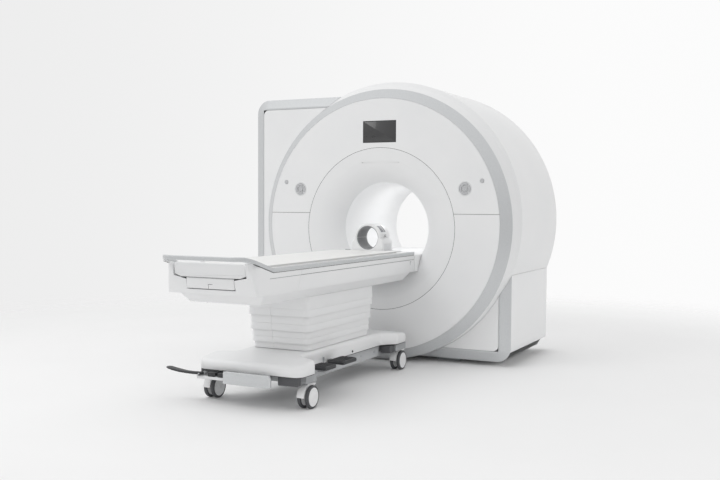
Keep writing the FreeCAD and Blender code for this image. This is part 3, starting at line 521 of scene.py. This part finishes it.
def base_cover():
    """The white moulding over the trolley's frame: wide ends, a narrow waist, crowned lengthways."""
    low, high = corners("base_cover")
    hole, hole_foot, hole_head = 150, -1395, -575
    right = eased([
        (hole, low.y), (high.x, low.y), (high.x, -1578), (228, -1528), (228, hole_foot), (228, hole_head),
        (228, -440), (315, -340), (315, high.y), (hole, high.y),
    ], [0, 60, 46, 40, 0, 0, 40, 46, 50, 0], 8)
    loop = right + [Vector((-p.x, p.y)) for p in reversed(right)]
    brim, slope_foot, slope_head = 260, -1401, -570

    def crown(y):
        """The height of the moulding's back at a place along it."""
        share = (y - low.y) / (slope_foot - low.y) if y < -1000 else (high.y - y) / (high.y - slope_head)
        return brim + (high.z - brim) * math.sin(max(0.0, min(1.0, share)) * math.pi / 2)

    round_over, wall = 24, 4
    arc = [(round_over * (1 - math.cos(t)),
        round_over * (1 - math.sin(t))) for t in (i * math.pi / 12 for i in range(7))]
    sides = [[(2.5, low.z), (0, low.z + 2.5)], [(wall, low.z)]]
    bm = bmesh.new()

    def ring(distance, height=None, drop=0.0):
        """A ring of vertices set in from the outline."""
        moved = inset(loop, distance)
        return [bm.verts.new((p.x, p.y, crown(p.y) - drop if height is None else height)) for p in moved]

    rings = [ring(*spot) for spot in sides[0]] + [ring(distance, drop=drop) for distance, drop in arc]
    upper = len(rings) - 1
    rings += [ring(wall + round_over, drop=wall),
        ring(wall, drop=round_over + 8)] + [ring(*spot) for spot in sides[1]]
    size, count = len(loop), len(right)
    for at, one in enumerate(rings):
        if at == upper:
            continue
        two = rings[(at + 1) % len(rings)]
        for i in range(size):
            after = (i + 1) % size
            bm.faces.new((one[i], one[after], two[after], two[i]))
    decks = []
    for edge in rings[upper:upper + 2]:
        rows = [(edge[0], edge[0], edge[size - 1], edge[size - 1])]
        for i in range(1, count - 1):
            near, far = edge[i], edge[size - 1 - i]
            inner = [bm.verts.new((side * hole, near.co.y, near.co.z)) for side in (1, -1)]
            rows.append((near, *inner, far))
        rows.append((edge[count - 1], edge[count - 1], edge[count], edge[count]))
        decks.append(rows)
        for row, after in zip(rows, rows[1:]):
            middle = (row[1].co.y + after[1].co.y) / 2
            for i in range(3):
                if i == 1 and hole_foot < middle < hole_head:
                    continue
                quad = (row[i], row[i + 1], after[i + 1], after[i])
                bm.faces.new([v for k, v in enumerate(quad) if v not in quad[:k]])
    walls = [i for i, row in enumerate(decks[0]) if hole_foot - 1 < row[1].co.y < hole_head + 1]
    for one, two in zip(walls, walls[1:]):
        for side in (1, 2):
            bm.faces.new((decks[0][one][side], decks[0][two][side], decks[1][two][side], decks[1][one][side]))
    for end in (walls[0], walls[-1]):
        bm.faces.new((decks[0][end][1], decks[0][end][2], decks[1][end][2], decks[1][end][1]))
    shown("base_cover_shell", bm, "trolley", SHELL, ["base_cover"], sharp=50)
    # a dark seal runs under the skirt's edge
    seal = bmesh.new()
    band = [(1.5, low.z - 2.5), (7, low.z - 2.5), (7, low.z + 2), (1.5, low.z + 2)]
    skin(seal, [placed(inset(loop, distance), "z", height) for distance, height in band], closed=True)
    shown("skirt_seal", seal, "trolley", SEAL_AND_SHADOW)


base_cover()


def bar(name, body, finish, axis, low, high, radius=2.0, edge=1.0, stands_for=()):
    """A bar between two corners, rounded at its edges, whose length runs along an axis."""
    bm = bmesh.new()
    across = [i for i in range(3) if "xyz"[i] != axis]
    outline = box_outline([low[i] for i in across], [high[i] for i in across], radius, 4)
    at = "xyz".index(axis)
    slab(bm, outline, axis, low[at], high[at], edge)
    return shown(name, bm, body, finish, stands_for)


def plate(name, body, finish, axis, outline, low, high, edge=1.0, radius=0.0, stands_for=(),
        sharp=35):
    """A flat plate cut to an anticlockwise outline across an axis."""
    bm = bmesh.new()
    slab(bm, eased(outline, radius, 5) if radius else [Vector(p) for p in outline], axis, low, high, edge)
    return shown(name, bm, body, finish, stands_for, sharp)


def chassis():
    """What shows of the steel frame under the covers: side rails, caster brackets and a cross bar."""
    for side, name in ((1, "right"), (-1, "left")):
        near, far = sorted((side * 199.5, side * 207))
        rail = [(-1636, 119), (-452, 119), (-436, 128), (-420, 160), (-420, 196), (-1636, 196)]
        plate(f"chassis_rail_{name}", "trolley", RAIL_GREY, "x", rail, near, far, 1.5, 3)
        near, far = sorted((side * 196, side * 212))
        bracket = [(-416, 150), (-330, 143), (-170, 143), (-170, 196), (-416, 196)]
        plate(f"rear_bracket_{name}", "trolley", FRAME_DARK, "x", bracket, near, far, 2, 4)
        lip = [(-412, 140), (-336, 140), (-336, 190), (-412, 190)]
        near, far = sorted((side * 214, side * 290))
        plate(f"rear_gusset_{name}", "trolley", FRAME_DARK, "x", lip, near, far, 2, 4)
        near, far = sorted((side * 205, side * 336))
        bar(f"front_crossbar_{name}", "trolley", FRAME_DARK, "x", (near, -1756, 145),
            (far, -1716, 197), 5, 2)
        bolts = bmesh.new()
        for y in (-1560, -1340, -1000, -700, -500):
            head = [(side * 206.5, 0.4), (side * 206.5, 6), (side * 209.5, 5.6), (side * 210, 4.8),
                (side * 210, 0.4)]
            spun(bolts, head, "x", (0, y, 158), 20)
        shown(f"chassis_bolts_{name}", bolts, "trolley", POLISHED)
    button = bmesh.new()
    spun(button, [(226, 0.4), (226, 7), (231, 7), (233, 5.5), (233.6, 3), (233.6, 0.4)], "x",
        (0, -868, 216), 24)
    shown("waist_button", button, "trolley", DARK_ABS)


chassis()


def bumper():
    """The silver panel under the foot end, with a folded top and a slim bar that carries two dark sockets."""
    low = corners("front_bumper")[0]
    face = [(-132, 134), (190, 134), (196, 140), (196, 206), (-132, 206)]
    bm = bmesh.new()
    slab(bm, eased(face, [4, 8, 8, 26, 8], 6), "y", low.y, low.y + 14, 4, 4)
    slab(bm, box_outline((-118, 146), (180, 192), 14, 5), "y", low.y - 1.2, low.y + 4, 1.5)
    slab(bm, box_outline((-130, 180), (176, 204), 3, 3), "y", low.y + 10, low.y + 34, 2)
    for x in (-125, 60):
        slab(bm, box_outline((x, 150), (x + 40, 170), 2, 3), "y", low.y + 10, -1661, 1)
    shown("bumper_panel", bm, "trolley", SILVER, ["front_bumper"])
    bar("bumper_bar", "trolley", PALE_ABS, "x", (-328, -1812, 147), (-130, -1790, 166), 5, 3)
    for place, x in enumerate((-248, -176)):
        bar(f"bumper_socket_{place}", "trolley", DARK_ABS, "y", (x, -1813, 168),
            (x + 52, -1772, 190), 3, 2)


bumper()


# ---- casters ----

def caster(place):
    """A twin-wheel caster: two tyres with white hub discs on one axle, and a moulded leg between them."""
    low, high = corners(f"caster_wheel_{place}")
    hub = (low + high) / 2
    radius = (high.z - low.z) / 2
    gap, body = 15, f"wheel_{place}"
    tyres, discs = bmesh.new(), bmesh.new()
    for way in (-1, 1):
        near, far = way * gap, way * (high.x - low.x) / 2
        tread = eased([(near, radius - 14), (near, radius), (far, radius), (far, radius - 14)],
            [1, 6, 7, 2], 4)
        spun(tyres, [(hub.x + a, r) for a, r in tread], "x", (0, hub.y, hub.z))
        rim = radius - 8
        disc = [
            (near + way * 2, 9), (near + way * 2, rim - 7), (far - way * 3, rim - 6.5),
            (far - way * 0.2, rim - 5),
            (far, rim - 7), (far - way * 1.6, rim - 12), (far - way * 2.2, 22), (far - way * 1.2, 17),
            (far - way * 0.6, 14), (far - way * 0.4, 9),
        ]
        spun(discs, [(hub.x + a, r) for a, r in disc], "x", (0, hub.y, hub.z))
        cap = [(far - way * 1.0, 0.5), (far - way * 1.0, 8.6), (far - way * 0.2, 8.0), (far, 6), (far, 0.5)]
        spun(discs, [(hub.x + a, r) for a, r in cap], "x", (0, hub.y, hub.z), 32)
    shown(f"tyres_{place}", tyres, body, TREAD, [f"caster_wheel_{place}"], sharp=50)
    shown(f"hub_discs_{place}", discs, body, WHITE_ABS, sharp=40)
    axle = bmesh.new()
    spun(axle, [(hub.x - 19, 0.5), (hub.x - 19, 8), (hub.x + 19, 8), (hub.x + 19, 0.5)], "x",
        (0, hub.y, hub.z), 32)
    shown(f"axle_{place}", axle, body, POLISHED)
    fork_low, fork_high = corners(f"caster_fork_{place}")
    swivel = Vector(((fork_low.x + fork_high.x) / 2, fork_high.y - 34))
    half = gap - 1.5
    leg = bmesh.new()
    side = eased([
        (hub.y - 20, fork_low.z), (hub.y + 20, fork_low.z), (swivel.y + 30, 2 * radius - 22),
        (swivel.y + 30, 2 * radius + 4),
        (swivel.y - 34, 2 * radius + 4), (hub.y - 26, hub.z + 24),
    ], [17, 17, 20, 4, 10, 20], 5)
    slab(leg, side, "x", swivel.x - half, swivel.x + half, 3)
    hood = []
    for step in range(19):
        turn = math.radians(88 + 90 * step / 18)
        c, t = math.cos(turn), math.sin(turn)
        section = eased([(-36, radius + 1.2), (14, radius + 1.2), (14, radius + 5), (-36, radius + 5)], 1.8,
            3)
        hood.append([Vector((swivel.x + p.x, hub.y + p.y * c, hub.z + p.y * t)) for p in section])
    skin(leg, hood)
    head = [(2 * radius + 2, 8), (2 * radius + 2, 31), (2 * radius + 3.5, 33.5), (fork_high.z - 1.5, 33.5),
        (fork_high.z, 32), (fork_high.z, 8)]
    spun(leg, head, "z", (swivel.x, swivel.y, 0), 48)
    return shown(f"fork_{place}_leg", leg, f"fork_{place}", WHITE_ABS,
        [f"caster_fork_{place}"])


for place in ("front_left", "front_right", "rear_left", "rear_right"):
    caster(place)


# ---- pedals ----

def pedal_cover(node, body):
    """A ribbed rubber cover over a side pedal's steel pad."""
    low, high = corners(node)
    pad_low, pad_high = Vector((270, low.y + 5, 202)), Vector((high.x + 1, high.y + 2, 225))
    bm = bmesh.new()
    slab(bm, box_outline(pad_low.xy, pad_high.xy, 14), "z", pad_low.z, pad_high.z, 6, 4)
    length = pad_high.y - pad_low.y
    ribs = int(length / 13)
    for at in range(ribs):
        middle = pad_low.y + length * (at + 0.5) / ribs
        rib = box_outline((pad_low.x + 12, middle - 2.4), (pad_high.x - 12, middle + 2.4), 2, 3)
        slab(bm, rib, "z", pad_high.z - 2, pad_high.z + 1.6, 1, 2)
    return shown(node + "_tread", bm, body, DARK_ABS)


def front_pedal():
    """The long brake pedal at the foot end: a flat lever that widens and rises to its tip."""
    low, high = corners("pedal_front")
    middle = (low.y + high.y) / 2
    stations = [
        (high.x - 4, 180, 10, 9), (-318, 180, 12, 9), (-350, 179, 15, 8), (-400, 180, 20, 7),
        (-450, 184, 26, 7),
        (-495, 190, 28, 6.5), (-525, 196, 27, 5.5), (-540, 199, 20, 4), (low.x, 200.5, 9, 2.0),
    ]
    rings = []
    for x, z, half, thick in stations:
        ring = []
        for i in range(24):
            turn = TURN * i / 24
            c, s = math.cos(turn), math.sin(turn)
            ring.append((x, middle + half * math.copysign(abs(c) ** 0.55, c),
                z + thick * math.copysign(abs(s) ** 0.6, s)))
        rings.append([Vector(p) for p in ring])
    bm = bmesh.new()
    skin(bm, rings)
    spun(bm, [(-1826, 5.2), (-1826, 10.5), (-1792, 10.5), (-1792, 5.2)], "y", (-300, 0, 180), 32)
    return shown("front_pedal_lever", bm, "pedal_front", DARK_ABS, ["pedal_front"], sharp=45)


pedal_cover("pedal_side_front", "pedal_side_front")
pedal_cover("pedal_side_rear", "pedal_side_rear")
front_pedal()


# ---- patient table ----

softened("table_shell", 2.0, SHELL, steps=2)
softened("end_shell", 7.0, SHELL, steps=4)
softened("side_rail", 7.0, SILVER, steps=4)
softened("under_shell", 12.0, SHELL, steps=4)
softened("bridge", 2.0, SHELL, steps=2)


def leaned(bm, rate, about):
    """Leans the mesh back towards the bore as it goes down."""
    for vert in bm.verts:
        vert.co.y -= rate * (vert.co.z - about)


def table_seams():
    """Fine dark strips: painted shadow under the silver rail and down the slanted joint, and a painted shadow
    line below the rail's white bevel; a dark seal along the groove on each side.
    """
    for side, name in ((1, "right"), (-1, "left")):
        near, far = sorted((side * 297, side * 300.6))
        # painted shadow: a dark strip under the silver rail and down its slanted joint, standing for the
        # shade in the gap between rail and shell
        under = [(-2150, 866.5), (-1954, 809.2), (-24, 809.2), (-24, 811.6), (-1954, 811.6), (-2150, 869)]
        plate(f"rail_painted_shadow_{name}", "table", SEAL_AND_SHADOW, "x", under, near, far, 0.4)
        bevel = [(-1950, 812.4), (-26, 812.4), (-26, 819.6), (-1932, 819.6)]
        near, far = sorted((side * 296, side * 301))
        plate(f"rail_bevel_{name}", "table", SHELL, "x", bevel, near, far, 0.4)
        # painted shadow: a dark line below the rail's white bevel, standing for the shade in that gap
        line = [(-1932, 819.8), (-26, 819.8), (-26, 821.2), (-1930, 821.2)]
        near, far = sorted((side * 296, side * 300.8))
        plate(f"rail_gap_painted_shadow_{name}", "table", SEAM_AND_SHADOW, "x", line, near, far, 0.3)
        groove = [(-1990, 778), (-30, 778), (-30, 780.6), (-1990, 780.6)]
        near, far = sorted((side * 298.6, side * 300.25))
        plate(f"side_groove_{name}", "table", SEAM_AND_SHADOW, "x", groove, near, far, 0.3)
        near, far = sorted((side * 299, side * 300.4))
        mark = [(-96, 744), (-92, 744), (-92, 764), (-78, 764), (-78, 768), (-96, 768)]
        plate(f"latch_recess_{name}", "table", SEAM_AND_SHADOW, "x", mark, near, far, 0.3)


table_seams()


def cradle():
    """The sliding cradle: deck, two-part T-shaped foot plate, sloped lip, and the dark runner blocks it rests
    on, whose dark colour paints the shadow under the plate's arms.
    """
    high = corners("cradle")[1]
    deck = bmesh.new()
    slab(deck, box_outline((-268, -2098), (268, high.y), 16, 5), "z", 815, 836, 4)
    shown("cradle_deck", deck, "cradle", SHELL, ["cradle"])
    upper = eased([(-195, 783), (195, 783), (237, 799), (237, 866), (-237, 866), (-237, 799)],
        [3, 3, 6, 22, 22, 6], 6)
    lower = eased([(-158, 721), (158, 721), (158, 780.5), (-158, 780.5)], [7, 7, 2, 2], 5)
    face = bmesh.new()
    slab(face, upper, "y", -2132, -2092, 7, 5)
    slab(face, lower, "y", -2132, -2092, 3)
    leaned(face, 0.12, 800)
    shown("foot_plate", face, "cradle", SHELL)
    # behind the plate a lip slopes up to keep the pad in place, with a hand recess at its middle
    lip = bmesh.new()
    slope = [(-2136, 838), (-2060, 838), (-2060, 862), (-2068, 874), (-2088, 876), (-2136, 858)]
    for start_x, end_x in ((-228, -78), (78, 228)):
        slab(lip, eased(slope, [2, 2, 6, 6, 10, 6], 4), "x", start_x, end_x, 4)
    low_slope = [(-2132, 838), (-2062, 838), (-2062, 852), (-2090, 858), (-2132, 852)]
    slab(lip, eased(low_slope, [2, 2, 4, 6, 4], 3), "x", -76, 76, 1)
    shown("foot_lip", lip, "cradle", SHELL)
    seams = bmesh.new()
    slab(seams, box_outline((-156, 779.8), (156, 783.6), 0.5, 2), "y", -2129, -2100, 0.5)
    slab(seams, box_outline((-13, 722), (-10.5, 748), 0.5, 2), "y", -2132.6, -2120, 0.2)
    slab(seams, box_outline((-13, 745.5), (16, 748), 0.5, 2), "y", -2132.6, -2120, 0.2)
    leaned(seams, 0.12, 800)
    shown("foot_plate_seams", seams, "cradle", SEAM_AND_SHADOW)
    # dark runner blocks under the foot plate's arms; their dark colour is painted shadow beneath the arms
    shadow_runners = bmesh.new()
    for x in (-196, 160):
        slab(shadow_runners, box_outline((x, 770), (x + 36, 781), 3, 3), "y", -2131, -2000, 2)
    leaned(shadow_runners, 0.12, 800)
    shown("table_shadow_runners", shadow_runners, "table", DARK_ABS)


cradle()


# ---- mattress ----

def mattress():
    """A thin foam pad in welded vinyl: a pressure simulation crowns it; piping ends both edges."""
    low, high = corners("mattress")
    half, foot, head = high.x - 3, low.y + 3, high.y - 3
    bottom, top, round_off = low.z + 0.4, high.z - 5.5, 34
    columns, rows, layers = 40, 140, 3
    grid = {}
    bm = bmesh.new()

    def spot(i, j):
        """The place of a grid point in plan."""
        x = -half + 2 * half * i / columns
        y = foot + (head - foot) * j / rows
        corner = Vector((math.copysign(half - round_off, x),
            foot + round_off if y < 0.5 * (foot + head) else head - round_off))
        away = Vector((x, y)) - corner
        outside = away.x * corner.x > 0 and (away.y < 0) == (corner.y < 0.5 * (foot + head))
        if outside and max(abs(away.x), abs(away.y)) > 0:
            # square rings round the corner's centre become round ones
            away *= max(abs(away.x), abs(away.y)) / away.length
        return corner + away

    def vert(i, j, k):
        """The vertex of a grid point, made when it is first asked for."""
        if (i, j, k) not in grid:
            place = spot(i, j)
            grid[i, j, k] = bm.verts.new((place.x, place.y, bottom + (top - bottom) * k / layers))
        return grid[i, j, k]

    for i in range(columns):
        for j in range(rows):
            for k in (0, layers):
                bm.faces.new((vert(i, j, k), vert(i + 1, j, k), vert(i + 1, j + 1, k), vert(i, j + 1, k)))
    for k in range(layers):
        for i in range(columns):
            for j in (0, rows):
                bm.faces.new((vert(i, j, k), vert(i + 1, j, k), vert(i + 1, j, k + 1), vert(i, j, k + 1)))
        for j in range(rows):
            for i in (0, columns):
                bm.faces.new((vert(i, j, k), vert(i, j + 1, k), vert(i, j + 1, k + 1), vert(i, j, k + 1)))
    # the sides pull in between the two seams
    for (i, j, k), made in grid.items():
        edge = i in (0, columns) or j in (0, rows)
        if edge and 0 < k < layers:
            made.co.x *= 1 - 1.5 / half
            made.co.y += 1.5 if made.co.y < -1100 else -1.5
    rest = {key: made.co.copy() for key, made in grid.items()}
    order = list(grid)
    pad = shown("mattress_pad", bm, "cradle", VINYL, ["mattress"], sharp=70)
    held = pad.vertex_groups.new(name="seams")
    seam = [n for n, (i, j, k) in enumerate(order) if k == 0 or (k == layers and (i in (0,
        columns) or j in (0, rows)))]
    held.add(seam, 1.0, "REPLACE")
    cloth = pad.modifiers.new("inflate", "CLOTH")
    cloth.settings.use_pressure = True
    cloth.settings.uniform_pressure_force = 4
    cloth.settings.vertex_group_mass = "seams"
    cloth.settings.effector_weights.gravity = 0
    cloth.settings.quality = 4
    for number in range(1, 21):
        scene.frame_set(number)
    blown = pad.evaluated_get(bpy.context.evaluated_depsgraph_get()).data
    shape = [v.co.copy() / MM for v in blown.vertices]
    pad.modifiers.remove(cloth)
    pad.vertex_groups.clear()
    cap = 4.5
    for number, key in enumerate(order):
        move = shape[number] - rest[key]
        if move.length > cap:
            move *= cap / move.length
        place = rest[key] + move
        place.z = max(bottom, place.z)
        pad.data.vertices[number].co = place * MM
    scene.frame_set(1)
    smooth = pad.modifiers.new("smooth", "SUBSURF")
    smooth.levels = smooth.render_levels = 1
    loop = box_outline((-half, foot), (half, head), round_off, 10)
    for name, height in (("lower", bottom + 1.4), ("upper", top)):
        piping = bmesh.new()
        rings = []
        for step in range(10):
            turn = TURN * step / 10
            rings.append(placed(inset(loop, -0.2 - 2.0 * math.cos(turn)), "z", height + 2.0 * math.sin(turn)))
        skin(piping, rings, closed=True)
        shown(f"mattress_piping_{name}", piping, "cradle", PIPING, sharp=80)


mattress()


# ---- receive coil ----

def half_tube(bm, inner, outer, near, far, first, last, height, steps=40, edge=3.0):
    """Part of a tube about the coil's axis between two angles in degrees, with rounded ends."""
    section = eased([(near, inner), (far, inner), (far, outer), (near, outer)],
        min(edge, (outer - inner) / 2.2), 4)
    rings = []
    for step in range(steps + 1):
        turn = math.radians(first + (last - first) * step / steps)
        rings.append([Vector((p.y * math.cos(turn), p.x, height + p.y * math.sin(turn))) for p in section])
    skin(bm, rings)


def receive_coil():
    """A two-part coil: white housings, a soft grey lining, a window, and a latch on each side."""
    low, high = corners("coil_top")
    near, far, axis = low.y, high.y, low.z - 1
    top = bmesh.new()
    half_tube(top, 87, 103, near, far, 0.6, 179.4, axis, edge=7)
    shown("coil_top_housing", top, "coil_top", SHELL, ["coil_top"], sharp=50)
    lining = bmesh.new()
    half_tube(lining, 82, 88, near + 7, far - 7, 0.8, 179.2, axis, edge=2)
    shown("coil_top_lining", lining, "coil_top", FOAM, sharp=50)
    base = [(-124, 837), (124, 837), (124, 902), (118, 916), (103.5, 937)]
    turns = [-math.radians(0.8 + 178.4 * i / 24) for i in range(25)]
    base += [(87 * math.cos(turn), axis + 87 * math.sin(turn)) for turn in turns]
    base += [(-103.5, 937), (-118, 916), (-124, 902)]
    lower = bmesh.new()
    outline = [Vector(p) for p in base]
    slab(lower, outline, "y", near, far, 4, 3)
    shown("coil_base_housing", lower, "cradle", SHELL, ["coil_base"], sharp=50)
    lining = bmesh.new()
    half_tube(lining, 82, 88, near + 7, far - 7, -179.2, -0.8, axis, edge=2)
    shown("coil_base_lining", lining, "cradle", FOAM, sharp=50)
    pane = bmesh.new()
    half_tube(pane, 102, 103.8, -158, -112, 24, 58, axis, 16, 0.8)
    half_tube(pane, 102, 103.8, -104, -84, 24, 58, axis, 16, 0.8)
    shown("coil_window", pane, "coil_top", GREY_ABS, sharp=50)
    for side, name in ((1, "right"), (-1, "left")):
        catch = bmesh.new()
        spot = sorted((side * 100, side * 113))
        slab(catch, box_outline((spot[0], axis + 2), (spot[1], axis + 30), 3, 3), "y", -150, -104, 3)
        shown(f"coil_catch_{name}", catch, "coil_top", WHITE_ABS)
        lines = bmesh.new()
        edge = sorted((side * 112, side * 113.8))
        for z in (axis + 8, axis + 18):
            slab(lines, box_outline((edge[0], z), (edge[1], z + 4), 0.6, 2), "y", -144, -110, 0.5)
        shown(f"coil_catch_ribs_{name}", lines, "coil_top", DARK_ABS)
        panel = bmesh.new()
        face = sorted((side * 123, side * 125))
        slab(panel, box_outline((-168, 846), (-52, 896), 8, 4), "x", face[0], face[1], 0.8)
        shown(f"coil_side_panel_{name}", panel, "cradle", PALE_ABS)
    stand = bmesh.new()
    slab(stand, box_outline((-206, -200), (206, -28), 18, 5), "z", 836.2, 843, 2.5)
    shown("coil_stand", stand, "cradle", SHELL)
    plug = bmesh.new()
    slab(plug, box_outline((-186, -190), (-150, -168), 4, 3), "z", 842, 850, 2)
    shown("coil_socket", plug, "cradle", GREY_ABS)


receive_coil()


# ---- gantry front ----

def front_seams():
    """Thin dark seals in the joints of the front cover: round the funnel and across both sides."""
    bm = bmesh.new()
    spun(bm, [(-0.2, 605.6), (4, 605.6), (4, 608.2), (-0.2, 608.2)], "y", (0, 0, 1000), 180)
    for side in (1, -1):
        near, far = sorted((side * 596, side * 942))
        slab(bm, box_outline((near, 1113.8), (far, 1116.2), 0.4, 2), "y", -0.15, 5, 0.2)
    shown("front_seals", bm, "gantry", SEAL_AND_SHADOW, sharp=60)


def display():
    """The flush display: a smoked window in a thin dark frame."""
    low, high = corners("display_screen")
    rim = bmesh.new()
    outer = box_outline((low.x, low.z), (high.x, high.z), 5, 5)
    inner = inset(outer, 4)
    depths = [(outer, 8), (outer, 0.6), (inset(outer, 0.8), -0.2), (inner, -0.2), (inset(outer, 4.6), 0.5),
        (inset(outer, 4.6), 8)]
    skin(rim, [placed(shape, "y", depth) for shape, depth in depths], closed=True)
    shown("display_frame", rim, "gantry", DARK_ABS, ["display_screen"])
    glass = bmesh.new()
    slab(glass, inset(outer, 4.7), "y", 0.1, 8, 0.4, 2)
    shown("display_window", glass, "gantry", ACRYLIC)


# the centres of the dish and of the small key, in millimetres from the middle and from the floor
DISH_X, DISH_Z = 681, 1299
SMALL_KEY_X, SMALL_KEY_Z = 810, 1354


def control_pad(side, name):
    """One control pad: a dished plate, a centre key, four arc keys, and a small round key beside it."""
    x, z = side * DISH_X, DISH_Z
    plate_bm = bmesh.new()
    dish = [
        (9, 1), (3.4, 1), (3.4, 23.4), (-0.6, 23.6), (-1.0, 24.6), (3.4, 24.9), (3.4, 44.2), (-0.8, 44.6),
        (-1.5, 46),
        (-1.2, 50), (-0.4, 52), (9, 52),
    ]
    spun(plate_bm, dish, "y", (x, 0, z), 96)
    shown(f"control_dish_{name}", plate_bm, "gantry", PALE_ABS, [f"control_plate_{name}"],
        sharp=30)
    centre = bmesh.new()
    spun(centre, [(1.2, 0.5), (1.2, 18.6), (-2.6, 18.8), (-3.8, 17.2), (-3.9, 15), (-3.0, 11), (-2.7, 0.5)],
        "y", (x, 0, z), 64)
    shown(f"centre_key_{name}", centre, f"centre_button_{name}", KEY,
        [f"centre_button_{name}"], sharp=50)
    arcs = bmesh.new()
    for quarter in range(4):
        turns = [math.radians(90 * quarter - 36 + 72 * i / 16) for i in range(17)]
        outline = [(x + 42.4 * math.cos(t), z + 42.4 * math.sin(t)) for t in turns]
        outline += [(x + 26.6 * math.cos(t), z + 26.6 * math.sin(t)) for t in reversed(turns)]
        slab(arcs, [Vector(p) for p in outline], "y", -3.0, 1.2, 1.4, 3)
    shown(f"arc_keys_{name}", arcs, f"ring_key_{name}", KEY, [f"ring_key_{name}"], sharp=40)
    small = bmesh.new()
    cap = [(4, 0.5), (4, 14.6), (-2.8, 14.8), (-3.8, 13.2), (-3.9, 11), (-3.2, 7), (-3.0, 0.5)]
    spun(small, cap, "y", (side * SMALL_KEY_X, 0, SMALL_KEY_Z), 48)
    shown(f"small_key_{name}", small, f"small_button_{name}", KEY, [f"small_button_{name}"],
        sharp=50)
    rim = bmesh.new()
    spun(rim, [(2, 15.8), (-0.5, 16.0), (-0.7, 17.4), (-0.1, 18.6), (2, 18.6)], "y",
        (side * SMALL_KEY_X, 0, SMALL_KEY_Z), 48)
    shown(f"small_key_rim_{name}", rim, "gantry", PALE_ABS, sharp=50)


front_seams()
display()
control_pad(1, "right")
control_pad(-1, "left")


# ---- studio ----

def add_floor():
    """The floor that everything stands on."""
    bm = bmesh.new()
    bmesh.ops.create_circle(bm, cap_ends=True, radius=60, segments=96)
    mesh = bpy.data.meshes.new("floor")
    bm.to_mesh(mesh)
    bm.free()
    mesh.materials.append(studio_floor())
    floor = bpy.data.objects.new("floor", mesh)
    scene.collection.objects.link(floor)


def add_light(name, spot, aim, size, power):
    """A soft square lamp at a spot, turned towards a point."""
    lamp = bpy.data.lights.new(name, "AREA")
    lamp.size = size
    lamp.energy = power
    holder = bpy.data.objects.new(name, lamp)
    holder.location = spot
    holder.rotation_euler = (Vector(aim) - Vector(spot)).to_track_quat("-Z", "Y").to_euler()
    holder.visible_camera = False
    scene.collection.objects.link(holder)


def add_world():
    """A pale surround: near white behind the object, dimmer on its left, brighter above in front."""
    world = bpy.data.worlds.new("surround")
    world.use_nodes = True
    tree = world.node_tree
    where = add(tree, "TexCoord").outputs["Generated"]

    def towards(way, low, high, dark, light):
        """A grey that runs from dark to light as the direction turns towards a way."""
        share = add(tree, "VectorMath", {0: where, 1: way}, operation="DOT_PRODUCT")
        return add(tree, "MapRange", {
            "Value": share.outputs["Value"], "From Min": low, "From Max": high, "To Min": dark,
            "To Max": light,
        }, interpolation_type="SMOOTHSTEP").outputs["Result"]

    behind = towards((0.892, 0.452, 0.0), -0.42, 0.30, 0.85, 0.97)
    before = towards((-0.15, 0.0, 0.99), -0.55, 0.75, 0.50, 0.88)
    share = towards((-0.452, 0.892, 0.0), 0.25, 0.85, 0.0, 1.0)
    mix = add(tree, "Mix", {"Factor": share, "A": before, "B": behind})
    tree.nodes["Background"].inputs["Color"].default_value = linear("#FFFFFF")
    tree.links.new(mix.outputs["Result"], tree.nodes["Background"].inputs["Strength"])
    scene.world = world


add_floor()
add_world()
add_light("key", (-2.6, -4.2, 5.6), (0, -0.4, 0.9), 3.0, 60)
add_light("bore", (0, 0.65, 1.32), (0, 0.65, 0.9), 0.3, 1.3)
